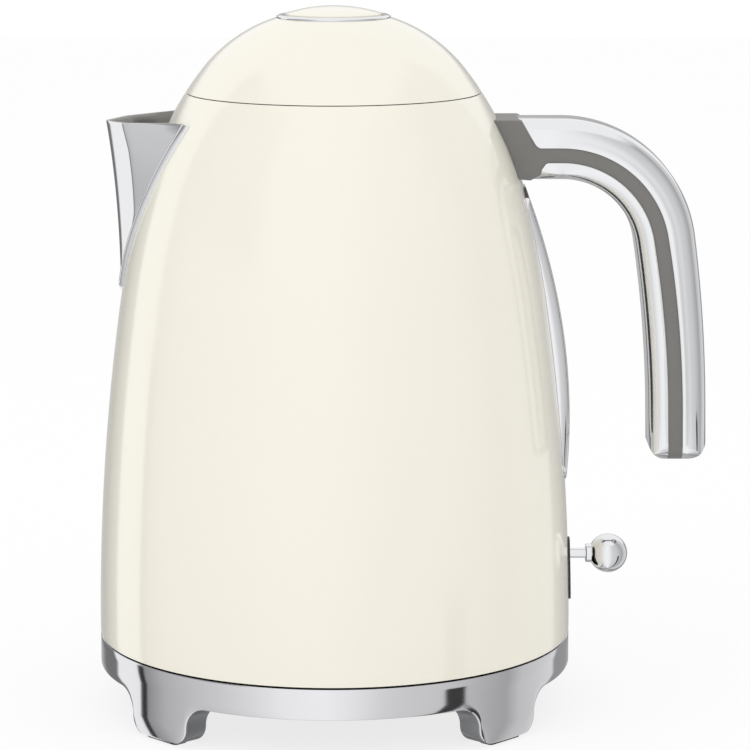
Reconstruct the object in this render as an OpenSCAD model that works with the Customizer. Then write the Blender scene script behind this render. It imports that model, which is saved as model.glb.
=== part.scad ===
// Electric kettle, 1.7 litre class: painted steel body on a power base with four cove-cut feet.
// Millimetres. Z is the kettle's own axis, z = 0 the table, +X the handle side, -X the spout.

/* [Body] */
// Outer radius of the body at its lower edge
body_r = 85; // [82:0.5:88]
// Height of the body's lower edge above the table
body_z = 26.8; // [26.4:0.1:28]
// Height of the seam between the body and the lid
seam_z = 221.6; // [219:0.2:224]
// Sheet thickness of the body and the lid dome
skin = 0.8; // [0.6:0.1:1.2]
// Radius of the long curve up the side
flank_radius = 839; // [800:5:900]
// Radius of the curve that turns in to the shoulder
waist_radius = 264; // [255:1:275]
// Radius of the shoulder curve
shoulder_radius = 120; // [116:0.5:124]
// Radius of the dome on top
dome_radius = 54; // [52:0.5:56]
// Height of the vessel's floor, underside
floor_z = 70; // [66:1:74]
// Thickness of the vessel's floor
floor_t = 1.6; // [1.2:0.2:2.4]

/* [Power base] */
// Height of the ring's lower edge between the feet
ring_z = 15.2; // [14:0.2:16]
// Gap between the ring and the body above it
ring_gap = 0.5; // [0.3:0.1:1]
// Wall of the ring
ring_wall = 3; // [2.4:0.2:4]
// Width of a foot halfway up
foot_w = 29; // [24:1:32]
// Thickness of a foot from outside to inside
foot_t = 9; // [7:0.5:11]
// Angle of each foot from the X axis
foot_angle = 43.5; // [40:0.5:47]
// Radius of the coves beside each foot
foot_cove = 8; // [6:0.5:9]
// Thickness of the rubber foot pads
pad_t = 1.0; // [0.8:0.1:1.6]
// Radius of the round power socket
socket_r = 13.5; // [12.5:0.5:14.5]
// Radius of the cord's way through its gland
cord_r = 3.1; // [2.8:0.1:3.3]

/* [Spout] */
// How far the spout's tip stands out from the body's side
spout_out = 22.5; // [20.5:0.1:24.5]
// Height of the spout's tip
spout_z = 211.4; // [209:0.2:213]
// Height of the spout's lowest point
spout_foot_z = 150.5; // [146:0.5:156]
// Half width of the spout's trim at its top
spout_half_w = 29.6; // [28:0.2:31]
// Wall of the spout
spout_wall = 1.2; // [1:0.1:1.6]
// Width of the raised trim round the spout
spout_bead = 3.4; // [2.6:0.2:4]

/* [Handle] */
// How far the handle's top face lies below the lid's seam
handle_drop = 9; // [8:0.1:10.4]
// How far from the body's side the handle's bend begins
handle_bend_out = 23; // [21.5:0.1:25]
// Outer radius of the handle's bend
handle_bend = 48; // [46:0.5:50]
// Total thickness of the handle at its bend
handle_t = 21.3; // [20:0.1:22.5]
// Thickness of the chrome back at the bend
handle_back_t = 9.8; // [9:0.1:10.5]
// Thickness of the grey core strip
core_t = 5.1; // [4.5:0.1:5.5]
// Width of the handle, across
handle_w = 26; // [24:0.5:28]
// Height of the handle's lower end
handle_end_z = 90; // [86:1:96]

/* [Water window] */
// Gap between the trim's upper end and the handle's mount
window_gap = 1.6; // [1.2:0.1:3]
// Length of the trim
window_l = 106; // [102:1:109]
// Width of the trim
window_w = 24; // [22:0.5:26]
// How far the trim stands out at its middle
window_rise = 4; // [3:0.2:5]
// Width of the clear strip
lens_w = 12; // [10:0.5:13]

/* [Lid] */
// How far in from the body's side the opening's edge is
neck_inset = 5.8; // [5.4:0.1:7]
// Radius of the lid's button
button_r = 17; // [16:0.25:18]
// Travel of the lid's button
button_travel = 3; // [2.4:0.1:3.2]
// Rise of the button's crown over its rim
button_crown = 2.6; // [2:0.2:3.2]
// How far the hinge's axis lies below the seam
hinge_drop = 8.3; // [8:0.1:8.8]
// Length of the lid's hinge pin
hinge_pin_l = 25; // [23:1:26]

/* [Switch] */
// Height of the switch lever at rest
lever_z = 53.9; // [52:0.2:56]
// Radius of the lever's ball
ball_r = 7; // [6:0.25:7.5]
// How far the ball's centre stands out from the body's side
ball_out = 14.6; // [13:0.2:17]
// Radius of the lever's stem
stem_r = 1.8; // [1.5:0.1:2.1]

/* [Hidden] */

cream = [0.93, 0.91, 0.84];
chrome = [0.78, 0.79, 0.81];
steel = [0.66, 0.67, 0.68];
grey = [0.46, 0.45, 0.44];
black = [0.08, 0.08, 0.09];
brass = [0.8, 0.65, 0.35];
silicone = [0.82, 0.82, 0.8];
clear = [0.75, 0.85, 0.9, 0.5];

run_gap = 0.05;    // a pin in its running bore
fit_gap = 0.05;    // pieces of one assembly that are fixed together
slide_gap = 0.3;   // pieces that move past each other
seam_gap = 0.3;    // each side of the seam between body and lid
big = 400;         // longer than the kettle, for cutting
fine = 180;        // facets of a full turn where a radius is large
round = 96;        // facets of a full turn elsewhere

// ---- The kettle's own profile: four arcs, each tangent to the next, from the lower edge to the crown.
ARCS = [
    [flank_radius, 8.58],
    [waist_radius, 8.94],
    [shoulder_radius, 20.14],
    [dome_radius, 50]
];

function heading(k) = k == 0 ? 0 : heading(k - 1) + ARCS[k - 1][1];
function joint_r(k) =
    k == 0 ? body_r : joint_r(k - 1) - ARCS[k - 1][0] * (cos(heading(k - 1)) - cos(heading(k)));
function joint_z(k) =
    k == 0 ? body_z : joint_z(k - 1) + ARCS[k - 1][0] * (sin(heading(k)) - sin(heading(k - 1)));
function centre_r(k) = joint_r(k) - ARCS[k][0] * cos(heading(k));
function centre_z(k) = joint_z(k) - ARCS[k][0] * sin(heading(k));

// Height at which arc k begins on the surface that lies in by depth
function arc_z(k, depth) = hundredth(centre_z(k) + (ARCS[k][0] - depth) * sin(heading(k)));

// Neighbouring strips share this rounded height, so that they meet edge to edge
function hundredth(v) = round(v * 100) / 100;

function arc_at(z, depth, k = 0) =
    k == len(ARCS) - 1 || z < arc_z(k + 1, depth) ? k : arc_at(z, depth, k + 1);

// Radius of the surface that lies in by depth, at height z
function skin_r(z, depth = 0) =
    let (k = arc_at(z, depth), rise = z - centre_z(k))
    centre_r(k) + sqrt((ARCS[k][0] - depth) ^ 2 - rise ^ 2);

// How steeply the body's side faces upwards at height z
function skin_tilt(z) =
    let (k = arc_at(z, 0))
    asin((z - centre_z(k)) / ARCS[k][0]);

module profile2d(depth, z0, z1) {
    for (k = [0:len(ARCS) - 1]) {
        low = max(z0, k == 0 ? z0 : arc_z(k, depth));
        high = min(z1, k == len(ARCS) - 1 ? z1 : arc_z(k + 1, depth));
        if (high > low)
            intersection() {
                translate([centre_r(k), centre_z(k)]) circle(r = ARCS[k][0] - depth, $fn = fine * 4);
                translate([0, low]) square([body_r + 20, high - low]);
            }
    }
}

// The solid inside the surface that lies in by depth, between two heights
module barrel(depth, z0, z1) {
    rotate_extrude($fn = fine) profile2d(depth, z0, z1);
}

// A layer of the wall, between two depths
module layer(outside, inside, z0, z1) {
    rotate_extrude($fn = fine)
        difference() {
            profile2d(outside, z0, z1);
            profile2d(inside, z0 - 1, z1 + 1);
        }
}

// ---- Small shapes
module ring(outer, inner, z0, z1, facets = round) {
    translate([0, 0, z0])
        linear_extrude(z1 - z0)
            difference() {
                circle(r = outer, $fn = facets);
                circle(r = inner, $fn = facets);
            }
}

module disc(r, z0, z1, facets = round) {
    translate([0, 0, z0]) cylinder(r = r, h = z1 - z0, $fn = facets);
}

// A rectangle with round corners, centred across, from y0 to y1
module slab2d(w, y0, y1, r) {
    for (x = [-w / 2 + r, w / 2 - r], y = [y0 + r, y1 - r])
        translate([x, y]) circle(r = r, $fn = 48);
    translate([-w / 2 + r, y0]) square([w - 2 * r, y1 - y0]);
    translate([-w / 2, y0 + r]) square([w, y1 - y0 - 2 * r]);
}

// Stands a drawing of (across, height) up and pushes it along +X from x0 to x1
module face_x(x0, x1) {
    translate([x0, 0, 0]) rotate([90, 0, 90]) linear_extrude(x1 - x0) children();
}

// Stands a drawing of (x, height) up and pushes it along Y, to either side
module side_y(w) {
    translate([0, w / 2, 0]) rotate([90, 0, 0]) linear_extrude(w) children();
}

module rod_y(x, z, r, w, facets = 48) {
    translate([x, w / 2, z]) rotate([90, 0, 0]) cylinder(r = r, h = w, $fn = facets);
}

module four_ways(angle) {
    for (a = [angle, 180 - angle, 180 + angle, -angle]) rotate([0, 0, a]) children();
}

// A closed skin through rows of points, each row a loop with as many points as the next
module loft(rows) {
    n = len(rows[0]);
    last = len(rows) - 1;
    polyhedron(
        points = [for (row = rows) each row],
        faces = [
            [for (i = [n - 1:-1:0]) i],
            [for (i = [0:n - 1]) last * n + i],
            for (k = [0:last - 1], i = [0:n - 1])
                let (a = k * n + i, b = k * n + (i + 1) % n)
                each [[a, b, a + n], [b, b + n, a + n]]
        ]
    );
}

// ---- Power base
ring_top = body_z - ring_gap;
plate_top = body_z - 2.8;
plate_t = 2.5;
plate_z = plate_top - plate_t;
tray_z = ring_z + 0.3;
tray_t = 2;
plate_r = body_r - ring_wall - fit_gap;
tray_r = body_r - foot_t - 1;
boss_r = 3.5;
boss_at = tray_r - boss_r - 1.5;
boss_angle = 20;    // turns the screws clear of the cord's way out
ring_lip_t = 1.6;
boss_top = plate_z - ring_lip_t / 2;
screw_r = 1.5;
screw_head_r = 2.8;
screw_head_t = 1.6;
spool_r = 38;
spool_z = 5;
spool_wall = 2;
spool_flange = spool_r + 10;
gland_wall = 0.9;
cove_lift = 0.3;    // how far the coves run up past the ring's lower edge
gland_z = (spool_z + spool_wall + tray_z) / 2;

// A foot seen from outside: round at the toe, with coves that run up into the ring
module foot2d() {
    toe = 6;
    reach = foot_w / 2 + foot_cove;
    cove_z = ring_z - foot_cove + cove_lift;
    slab2d(foot_w, pad_t, ring_z + 1, toe);
    difference() {
        translate([-reach, cove_z]) square([2 * reach, ring_z + 1 - cove_z]);
        for (side = [-1, 1])
            translate([side * reach, cove_z]) circle(r = foot_cove, $fn = 64);
    }
}

module four_screws() {
    for (a = [0:90:270]) rotate([0, 0, a + boss_angle]) translate([boss_at, 0, 0]) children();
}

module base_ring() {
    edge = 0.6;
    wall_in = body_r - ring_wall;
    foot_in = body_r - foot_t;
    lip_in = boss_at + boss_r - 1.4;
    ledge_t = 1.2;
    color(chrome) {
        difference() {
            rotate_extrude($fn = fine)
                polygon([
                    [foot_in, pad_t], [body_r, pad_t], [body_r, ring_top - edge], [body_r - edge, ring_top],
                    [wall_in, ring_top], [wall_in, plate_z], [lip_in, plate_z], [lip_in, plate_z - ring_lip_t],
                    [wall_in, plate_z - ring_lip_t], [wall_in, ring_z + ledge_t], [foot_in, ring_z + ledge_t]
                ]);
            difference() {
                rotate_extrude($fn = fine)
                    polygon([
                        [0, -1], [body_r + 5, -1], [body_r + 5, ring_z + edge + 5], [body_r - edge, ring_z],
                        [0, ring_z]
                    ]);
                four_ways(foot_angle) face_x(0, body_r + 10) foot2d();
            }
        }
        four_screws() ring(boss_r, screw_r, tray_z + tray_t, boss_top);
    }
}

// Soft pads glued flat under the toes
module foot_pads() {
    pad_w = foot_w - 13;
    inset = 1.5;
    color(black)
        four_ways(foot_angle)
            intersection() {
                translate([0, -pad_w / 2, 0]) cube([body_r, pad_w, pad_t]);
                ring(body_r - inset, body_r - foot_t + inset, -1, pad_t + 1, fine);
            }
}

// The plate that the kettle stands on, with the power socket through its middle
module base_top_plate() {
    color(black) ring(plate_r, socket_r + fit_gap, plate_z, plate_top, fine);
}

// Lower cover, moulded with the spool that spare cord is wound on
module base_bottom_plate() {
    color(black)
        difference() {
            union() {
                disc(tray_r, tray_z, tray_z + tray_t, fine);
                disc(spool_r, spool_z, tray_z + 1);
                disc(spool_flange, spool_z, spool_z + spool_wall);
            }
            disc(spool_r - spool_wall, spool_z - 1, tray_z);
            translate([0, 0, gland_z]) rotate([-90, 0, 0]) disc(cord_r + gland_wall, 0, spool_r + 1, 48);
            four_screws() disc(screw_r + 0.2, tray_z - 1, tray_z + tray_t + 1, 48);
        }
}

module base_screws() {
    color(steel)
        four_screws() {
            disc(screw_head_r, tray_z - screw_head_t, tray_z, 32);
            disc(screw_r, tray_z - 1, boss_top - 0.5, 32);
        }
}

// Bush that the power cord leaves through, in the spool's wall at the back
module cord_gland() {
    collar = 1.5;
    length = spool_wall + 4;
    inner_end = spool_r - spool_wall - 2;
    color(black)
        translate([0, 0, gland_z]) rotate([-90, 0, 0]) {
            ring(cord_r + gland_wall, cord_r, inner_end, inner_end + length, 48);
            ring(cord_r + gland_wall + 0.2, cord_r, spool_r + 0.3, spool_r + 0.3 + collar, 48);
        }
}

// Round socket that lets the kettle sit down facing any way: a pin hole and a ring groove
socket_flange_r = socket_r + 8;
socket_flange_t = 2;
socket_top = plate_top + 9;
groove_out = 10;
groove_in = 7.5;
groove_z = plate_top + 1;
pin_hole_r = 3.2;
contact_t = 0.7;
blade_gap = 0.2;

module base_socket() {
    color(black)
        difference() {
            union() {
                disc(socket_flange_r, plate_z - socket_flange_t, plate_z);
                disc(socket_r, plate_z - 1, socket_top);
            }
            disc(pin_hole_r, groove_z, socket_top + 1, 48);
            ring(groove_out, groove_in, groove_z, socket_top + 1);
        }
}

module socket_contacts() {
    below = 1.5;
    color(brass) {
        ring(pin_hole_r, pin_hole_r - contact_t, groove_z, socket_top - below, 48);
        ring(groove_out, groove_out - contact_t, groove_z, socket_top - below);
    }
}

// ---- Kettle side of the connector: a cap over the socket, the same from every side
cap_in = socket_r + 0.6;
cap_out = cap_in + 3.6;
cap_z = plate_top + 0.6;
cap_roof_z = socket_top + 0.6;
cap_top = cap_roof_z + 2.2;

module kettle_connector() {
    color(black) {
        ring(cap_out, cap_in, cap_z, cap_top);
        disc(cap_in + 0.5, cap_roof_z, cap_top);
    }
}

module connector_pins() {
    blade_out = groove_out - contact_t - blade_gap;
    blade_in = blade_out - 1;
    tip = groove_z + 1.5;
    color(brass) {
        disc(pin_hole_r - contact_t - blade_gap, tip, cap_roof_z, 48);
        ring(blade_out, blade_in, tip, cap_roof_z);
    }
}

// ---- Body
shell_top = seam_z - seam_gap;
inner = skin + fit_gap;
spout_reach = skin_r(spout_z) + spout_out;
handle_z = seam_z - handle_drop;
handle_bend_x = skin_r(handle_z) + handle_bend_out;
mount_chin = 1.5;     // the mount reaches this far below the handle's underside
mount_low_z = handle_z - handle_t - mount_chin;
window_z = mount_low_z - window_gap - window_l;
trim_end = 10;        // solid length of the window's trim above and below the clear strip
lens_z = window_z + trim_end;
lens_top = window_z + window_l - trim_end;
lens_corner = 4;
mouth_h = 30;
mouth_w = 30;
mouth_foot_w = 13.5;  // width of the pouring hole's lower edge
mouth_side_h = 8;     // height of its upright sides
mouth_top = spout_z - 4;
mouth_z = mouth_top - mouth_h;

// Outline of the clear strip, seen from the handle side
module lens2d(grow = 0) {
    slab2d(lens_w + 2 * grow, lens_z - grow, lens_top + grow, lens_corner + grow);
}

// Outline of the pouring hole, seen from the spout side
module mouth2d(grow = 0) {
    half = mouth_w / 2 + grow;
    foot = half * mouth_foot_w / mouth_w;
    low = mouth_z - grow;
    top = mouth_top + grow;
    side = top - mouth_side_h;
    polygon([[-foot, low], [foot, low], [half, side], [half, top], [-half, top], [-half, side]]);
}

bezel_h = 23;
bezel_w = 11;
bezel_z = lever_z - 5.5;
bezel_t = 0.8;
slot_h = 18;
slot_w = 6;
slot_rim = 1;         // the bezel's wall, through the slot
hole_w = slot_w + 2 * slot_rim;
hole_h = slot_h + 2 * slot_rim;

// Upright slot that the lever moves in, grown where a piece fits round it
module slot2d(w, h) {
    slab2d(w, bezel_z - h / 2, bezel_z + h / 2, w / 2 - 0.01);
}

mount_screw_r = 1.8;
mount_screw_l = 6;
mount_head_r = 3.2;
mount_head_t = 1.6;
mount_screw_z = [handle_z - 10, handle_z - 18];

// Stands its children on the body's side at each screw, their z axis square to the wall
module at_mount_screws() {
    for (z = mount_screw_z) translate([skin_r(z), 0, z]) rotate([0, 90 - skin_tilt(z), 0]) children();
}

module outer_shell() {
    color(cream)
        difference() {
            layer(0, skin, body_z, shell_top);
            face_x(0, body_r + 1) lens2d(fit_gap);
            face_x(-body_r - 1, 0) mouth2d();
            face_x(0, body_r + 1) slot2d(hole_w, hole_h);
            at_mount_screws() disc(mount_screw_r + slide_gap, -mount_screw_l, mount_screw_l, 48);
        }
}

// Cover under the body, with the ring that the kettle stands on and a way through for the connector
cover_z = body_z + 1;
cover_t = 2;
cover_lip_h = 4;
cover_lip_t = 1.6;
stand_w = 5;
stand_r = plate_r - 30;

module bottom_cover() {
    color(black)
        difference() {
            union() {
                barrel(inner, cover_z, cover_z + cover_t);
                layer(inner, inner + cover_lip_t, cover_z, cover_z + cover_t + cover_lip_h);
                ring(stand_r, stand_r - stand_w, plate_top + slide_gap, cover_z + cover_t / 2);
            }
            disc(cap_out + slide_gap, cover_z - 1, cover_z + cover_t + 1);
        }
}

// Tube that carries steam from under the lid down to the thermostat, close by the wall
steam_r = 4;
steam_wall = 0.8;
steam_top = seam_z - 24;
steam_at = skin_r(steam_top, skin) - steam_r - slide_gap;
steam_angle = 37;

module at_steam_tube() {
    rotate([0, 0, steam_angle]) translate([steam_at, 0, 0]) children();
}

floor_rim_h = 8.4;
floor_rim_t = 1.2;

module heating_plate() {
    color(steel)
        difference() {
            union() {
                barrel(inner, floor_z, floor_z + floor_t);
                layer(inner, inner + floor_rim_t, floor_z, floor_z + floor_t + floor_rim_h);
            }
            at_steam_tube() disc(steam_r + fit_gap, floor_z - 1, floor_z + floor_t + 1, 48);
        }
}

// Sheathed element brazed under the floor, an open ring with two cold ends
element_w = 9;
element_t = 7;
element_r = steam_at - steam_r - 0.8 - element_w / 2;
cold_end_r = 3;
cold_end_l = 6;

module heating_element() {
    gap_angle = 50;
    under = floor_z - element_t;
    color(steel) {
        rotate([0, 0, 90 + gap_angle / 2])
            rotate_extrude(angle = 360 - gap_angle, $fn = fine)
                translate([element_r - element_w / 2, under]) square([element_w, element_t]);
        for (side = [-1, 1])
            rotate([0, 0, 90 + side * (gap_angle / 2 + 1)])
                translate([element_r, 0, 0]) disc(cold_end_r, under - cold_end_l, under + element_t / 2, 48);
    }
}

// Thermostat and switch block, hung from the floor on three posts, with ears for the lever's pin
pivot_x = skin_r(lever_z) - 22.56;
pivot_z = lever_z;
pivot_r = 1.5;
ear_in = 5.6;
ear_t = 3;
ear_r = 5;
ear_l = 15;
control_z = cap_top + slide_gap;
control_top = lever_z + 7;
control_half = 22;
control_back = 30;
post_r = 4;
post_at = control_half - 2;

module control_unit() {
    front = pivot_x - ear_l + 1;
    color(black) {
        difference() {
            union() {
                translate([-control_back, -control_half, control_z])
                    cube([control_back + front, 2 * control_half, control_top - control_z]);
                for (side = [-1, 1])
                    translate([0, side * (ear_in + ear_t / 2), 0])
                        side_y(ear_t) {
                            translate([pivot_x, pivot_z]) circle(r = ear_r, $fn = 48);
                            translate([pivot_x - ear_l, pivot_z - ear_r]) square([ear_l, 2 * ear_r]);
                        }
            }
            rod_y(pivot_x, pivot_z, pivot_r, 4 * ear_in);
        }
        for (a = [60, 180, 300])
            rotate([0, 0, a]) translate([post_at, 0, 0]) disc(post_r, control_top - 1, floor_z, 48);
    }
}

module lever_pin() {
    color(steel) rod_y(pivot_x, pivot_z, pivot_r, 2 * (ear_in + ear_t));
}

module slot_bezel() {
    color(black)
        intersection() {
            layer(-bezel_t, skin + bezel_t, bezel_z - bezel_h, bezel_z + bezel_h);
            difference() {
                union() {
                    intersection() {
                        face_x(0, body_r + 5) slot2d(bezel_w, bezel_h);
                        layer(-bezel_t, -fit_gap, bezel_z - bezel_h, bezel_z + bezel_h);
                    }
                    face_x(0, body_r + 5) slot2d(hole_w - 2 * fit_gap, hole_h - 2 * fit_gap);
                }
                face_x(0, body_r + 6) slot2d(slot_w, slot_h);
            }
        }
}

module steam_tube() {
    color(steel)
        at_steam_tube() ring(steam_r, steam_r - steam_wall, lever_z, steam_top, 48);
}

// ---- Water window: clear strip, chrome trim and a seal behind the wall
seal_t = 1.6;

module window_lens() {
    color(clear)
        intersection() {
            layer(-1.2, skin + seal_t, lens_z - 2, lens_top + 2);
            face_x(0, body_r + 5) lens2d();
        }
}

module window_gasket() {
    width = 3;
    color(silicone)
        intersection() {
            layer(inner, skin + seal_t, lens_z - 2 * width, lens_top + 2 * width);
            face_x(0, body_r + 5)
                difference() {
                    lens2d(width);
                    lens2d(fit_gap);
                }
        }
}

// The trim's outer face is an arc whose ends run out on the body
trim_bias = 3;
trim_mid_z = window_z + window_l / 2 + trim_bias;
trim_half = window_l / 2 + trim_bias;
trim_corner = 3;
trim_end_r = 9;
trim_low_x = skin_r(trim_mid_z - trim_half);
trim_high_x = skin_r(trim_mid_z + trim_half);
trim_mid_x = skin_r(trim_mid_z) + window_rise;

module window_trim() {
    chord = [trim_high_x - trim_low_x, 2 * trim_half];
    chord_l = norm(chord);
    sag = (trim_mid_x - (trim_low_x + trim_high_x) / 2) * chord[1] / chord_l;
    bow = chord_l ^ 2 / (8 * sag) + sag / 2;
    mid = [(trim_low_x + trim_high_x) / 2, trim_mid_z];
    out = [chord[1], -chord[0]] / chord_l;
    centre = mid + out * (sag - bow);
    color(chrome)
        difference() {
            intersection() {
                translate([centre[0], 0, centre[1]]) rotate([90, 0, 0])
                    rotate([0, 0, -30])
                        rotate_extrude(angle = 60, $fn = fine * 4)
                            translate([bow, 0])
                                rotate([0, 0, 90]) slab2d(window_w, 0, window_w, trim_corner);
                face_x(0, body_r + 20) slab2d(window_w, window_z, window_z + window_l, trim_end_r);
            }
            barrel(-fit_gap, window_z - 5, window_z + window_l + 5);
            face_x(0, body_r + 20) lens2d(fit_gap);
        }
}

// ---- Spout: a beak lofted from level to level, open on top, standing on a raised trim
spout_steps = 12;
spout_rim_rise = 0.09;   // the rim climbs this much per millimetre towards the body
nose_slope = 0.577;      // the two faces of the nose draw back this much per millimetre
nose_r = 2.2;            // how softly they meet at the keel
crease_r = 1.6;          // how softly each meets the side face behind it
crease_top = 11;         // how far out the crease is at the rim
crease_foot = 14;        // and where it would be at the spout's foot
keel_lift = 0.4;         // the keel starts this far off the body
trim_rise = 1.7;         // the trim stands this far off the body
spout_over = 2;          // the trim runs on this far above the tip

// Where a level's points lie across, as shares of its half width
BEAK_SHARES = [0, 0.05, 0.12, 0.22, 0.33, 0.4, 0.46, 0.53, 0.6, 0.68, 0.8, 1];
crease_share = 0.66;     // the crease stays inside this share of the half width

// Height above the foot as a share of the spout, 0 at its foot and 1 at its tip
function spout_share(z) = (z - spout_foot_z) / (spout_z - spout_foot_z);

// The trim's outer half width: an arc-like swell from the foot to the top
function trim_half_w(z) =
    let (t = min(1, max(0, spout_share(z))))
    spout_half_w * (1 - (1 - t) ^ 1.55);

// Where the keel runs: it leaves the body at the foot and swings out to the tip
function keel_x(z) =
    let (t = max(0, spout_share(z)), root = skin_r(spout_foot_z) + keel_lift)
    root + (spout_reach - root) * (0.18 * t + 0.82 * t ^ 2.4);

// Rounded ramps and their slopes: one rises from the keel, the other from the crease
function soft_v(y) = sqrt(y ^ 2 + nose_r ^ 2) - nose_r;
function soft_v_slope(y) = y / sqrt(y ^ 2 + nose_r ^ 2);
function soft_ramp(v) = (v + sqrt(v ^ 2 + crease_r ^ 2)) / 2;
function soft_ramp_slope(v) = (1 + v / sqrt(v ^ 2 + crease_r ^ 2)) / 2;
function past_crease(y, crease) = soft_ramp(y - crease) - soft_ramp(-crease);

// A level of the beak, drawn in by a wall: nose faces up to the crease, steeper side faces behind it
function beak_level(z, wall) =
    let (
        half = max(0.8, trim_half_w(z) - spout_bead - fit_gap),
        keel = keel_x(z),
        depth = keel - sqrt(skin_r(z) ^ 2 - half ^ 2),
        line = crease_foot + (crease_top - crease_foot) * min(1, spout_share(z)),
        crease = min(line, crease_share * half),
        past = past_crease(half, crease),
        side_slope = (depth - nose_slope * (soft_v(half) - past)) / past,
        right = [
            for (u = BEAK_SHARES)
                let (
                    y = half * u,
                    over = past_crease(y, crease),
                    back = nose_slope * (soft_v(y) - over) + side_slope * over,
                    turn = soft_ramp_slope(y - crease),
                    lean = u == 0 ? 0 : nose_slope * (soft_v_slope(y) - turn) + side_slope * turn
                )
                [back - keel, y] + wall * [1, -lean] / norm([1, lean])
        ],
        last = len(right) - 1,
        behind = right[last][0] + 12
    )
    [
        for (i = [last:-1:1]) [right[i][0], -right[i][1], z],
        for (p = right) [p[0], p[1], z],
        [behind, right[last][1], z],
        [behind, -right[last][1], z]
    ];

module beak(wall, z0, z1) {
    loft([for (k = [0:spout_steps]) beak_level(z0 + (z1 - z0) * k / spout_steps, wall)]);
}

module spout() {
    above = spout_z + spout_over;
    color(chrome)
        difference() {
            beak(0, spout_foot_z + 3, spout_z + 8);
            beak(spout_wall, spout_foot_z + 12, spout_z + 12);
            barrel(-fit_gap, spout_foot_z - 5, spout_z + 20);
            difference() {
                barrel(-trim_rise - fit_gap, spout_foot_z - 5, spout_z + 20);
                face_x(-big, 0) trim2d(spout_bead + fit_gap);
                translate([-big / 2, -big / 2, above]) cube(big);
            }
            translate([-spout_reach, 0, spout_z])
                rotate([0, -atan(spout_rim_rise), 0]) translate([-big / 2, -big / 2, 0]) cube(big);
        }
}

// Outline of the trim, seen from the spout side
module trim2d(inset) {
    steps = 16;
    low = spout_foot_z + inset * 2.2;
    top = spout_z + spout_over;
    right = [
        for (k = [0:steps])
            let (z = low + (top - low) * k / steps)
            [max(0.3, trim_half_w(z) - inset), z]
    ];
    polygon([
        for (p = right) p,
        for (k = [steps:-1:0]) [-right[k][0], right[k][1]]
    ]);
}

module spout_trim() {
    color(chrome)
        intersection() {
            layer(-trim_rise, -fit_gap, spout_foot_z - 2, spout_z + 5);
            face_x(-body_r - 10, 0)
                difference() {
                    trim2d(0);
                    trim2d(spout_bead);
                }
        }
}

// Lift-out filter that hangs behind the pouring hole
filter_wall = 1.5;
filter_depth = skin + 0.4;

module filter_frame() {
    rim = 2.5;
    color(steel)
        intersection() {
            layer(filter_depth, filter_depth + filter_wall, mouth_z - 10, mouth_top + 10);
            face_x(-body_r, 0)
                difference() {
                    mouth2d(rim);
                    mouth2d(-0.5);
                }
        }
}

module filter_mesh() {
    color(steel)
        intersection() {
            layer(filter_depth + 0.5, filter_depth + 0.9, mouth_z - 10, mouth_top + 10);
            face_x(-body_r, 0) mouth2d(-0.5 - fit_gap);
        }
}

// ---- Neck of the vessel and the lid's hinge
lid_z = seam_z + seam_gap;
neck_r = skin_r(seam_z) - neck_inset;
hinge_x = skin_r(seam_z);
hinge_z = seam_z - hinge_drop;
hinge_r = 1.5;
arm_w = 14;
arm_boss_r = 3;
ear_gap = 0.4;
latch_side = 2;     // room beside the latch in the neck
neck_top = seam_z - 2.2;
neck_t = 7.4;
lip_t = 2.4;
notch_w = hinge_pin_l + 1;
latch_w = 12;
latch_t = 2.3;
latch_z = neck_top - lip_t - slide_gap - latch_t;
latch_reach = 1.5;

module neck_ring() {
    color(grey)
        difference() {
            intersection() {
                barrel(inner, neck_top - neck_t, neck_top);
                ring(body_r, neck_r, neck_top - neck_t, neck_top, fine);
            }
            translate([0, -notch_w / 2, neck_top - neck_t - 1]) cube([body_r, notch_w, neck_t + 2]);
            translate([-neck_r - 2 * latch_reach, -latch_w / 2 - latch_side, neck_top - neck_t - 1])
                cube([4 * latch_reach, latch_w + 2 * latch_side, neck_t + 1 - lip_t]);
        }
}

module hinge_bracket() {
    ear_top = hinge_z + 4.3;
    floor_top = hinge_z - arm_boss_r - 1.4;
    depth = 9;
    ear_y = arm_w / 2 + ear_gap;
    color(steel)
        difference() {
            intersection() {
                barrel(inner, floor_top - 2, ear_top);
                union() {
                    translate([hinge_x - depth, -notch_w / 2, floor_top - 2]) cube([30, notch_w, 2]);
                    for (side = [-1, 1])
                        translate([0, side * (ear_y + notch_w / 2) / 2, 0])
                            side_y(notch_w / 2 - ear_y)
                                translate([hinge_x - depth, floor_top - 2])
                                    square([30, ear_top - floor_top + 2]);
                }
            }
            rod_y(hinge_x, hinge_z, hinge_r, 2 * notch_w);
            side_y(2 * notch_w)
                difference() {
                    translate([hinge_x - depth - 1, hinge_z]) square([5, 6]);
                    translate([hinge_x - depth + 4, hinge_z]) circle(r = 4, $fn = 64);
                }
        }
}

module hinge_pin() {
    color(steel) rod_y(hinge_x, hinge_z, hinge_r, hinge_pin_l);
}

// Swan neck that carries the lid round the edge of the body as it opens
arm_in = 9.4;
arm_t = 3.2;

module hinge_arm() {
    foot_l = 8;
    color(steel)
        difference() {
            side_y(arm_w)
                translate([hinge_x, hinge_z]) {
                    circle(r = arm_boss_r, $fn = 64);
                    translate([-arm_in - arm_t / 2, -arm_boss_r])
                        square([arm_in + arm_t / 2, arm_boss_r - 0.5]);
                    translate([-arm_in - arm_t, -arm_boss_r + arm_t / 2])
                        square([arm_t, lid_z - hinge_z + arm_boss_r - arm_t / 2]);
                    translate([-arm_in - arm_t / 2, -arm_boss_r + arm_t / 2])
                        intersection() {
                            circle(r = arm_t / 2, $fn = 48);
                            translate([-arm_t, -arm_t]) square([2 * arm_t, arm_t + 0.1]);
                        }
                }
            rod_y(hinge_x, hinge_z, hinge_r + run_gap, 2 * arm_w);
        }
}

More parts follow.
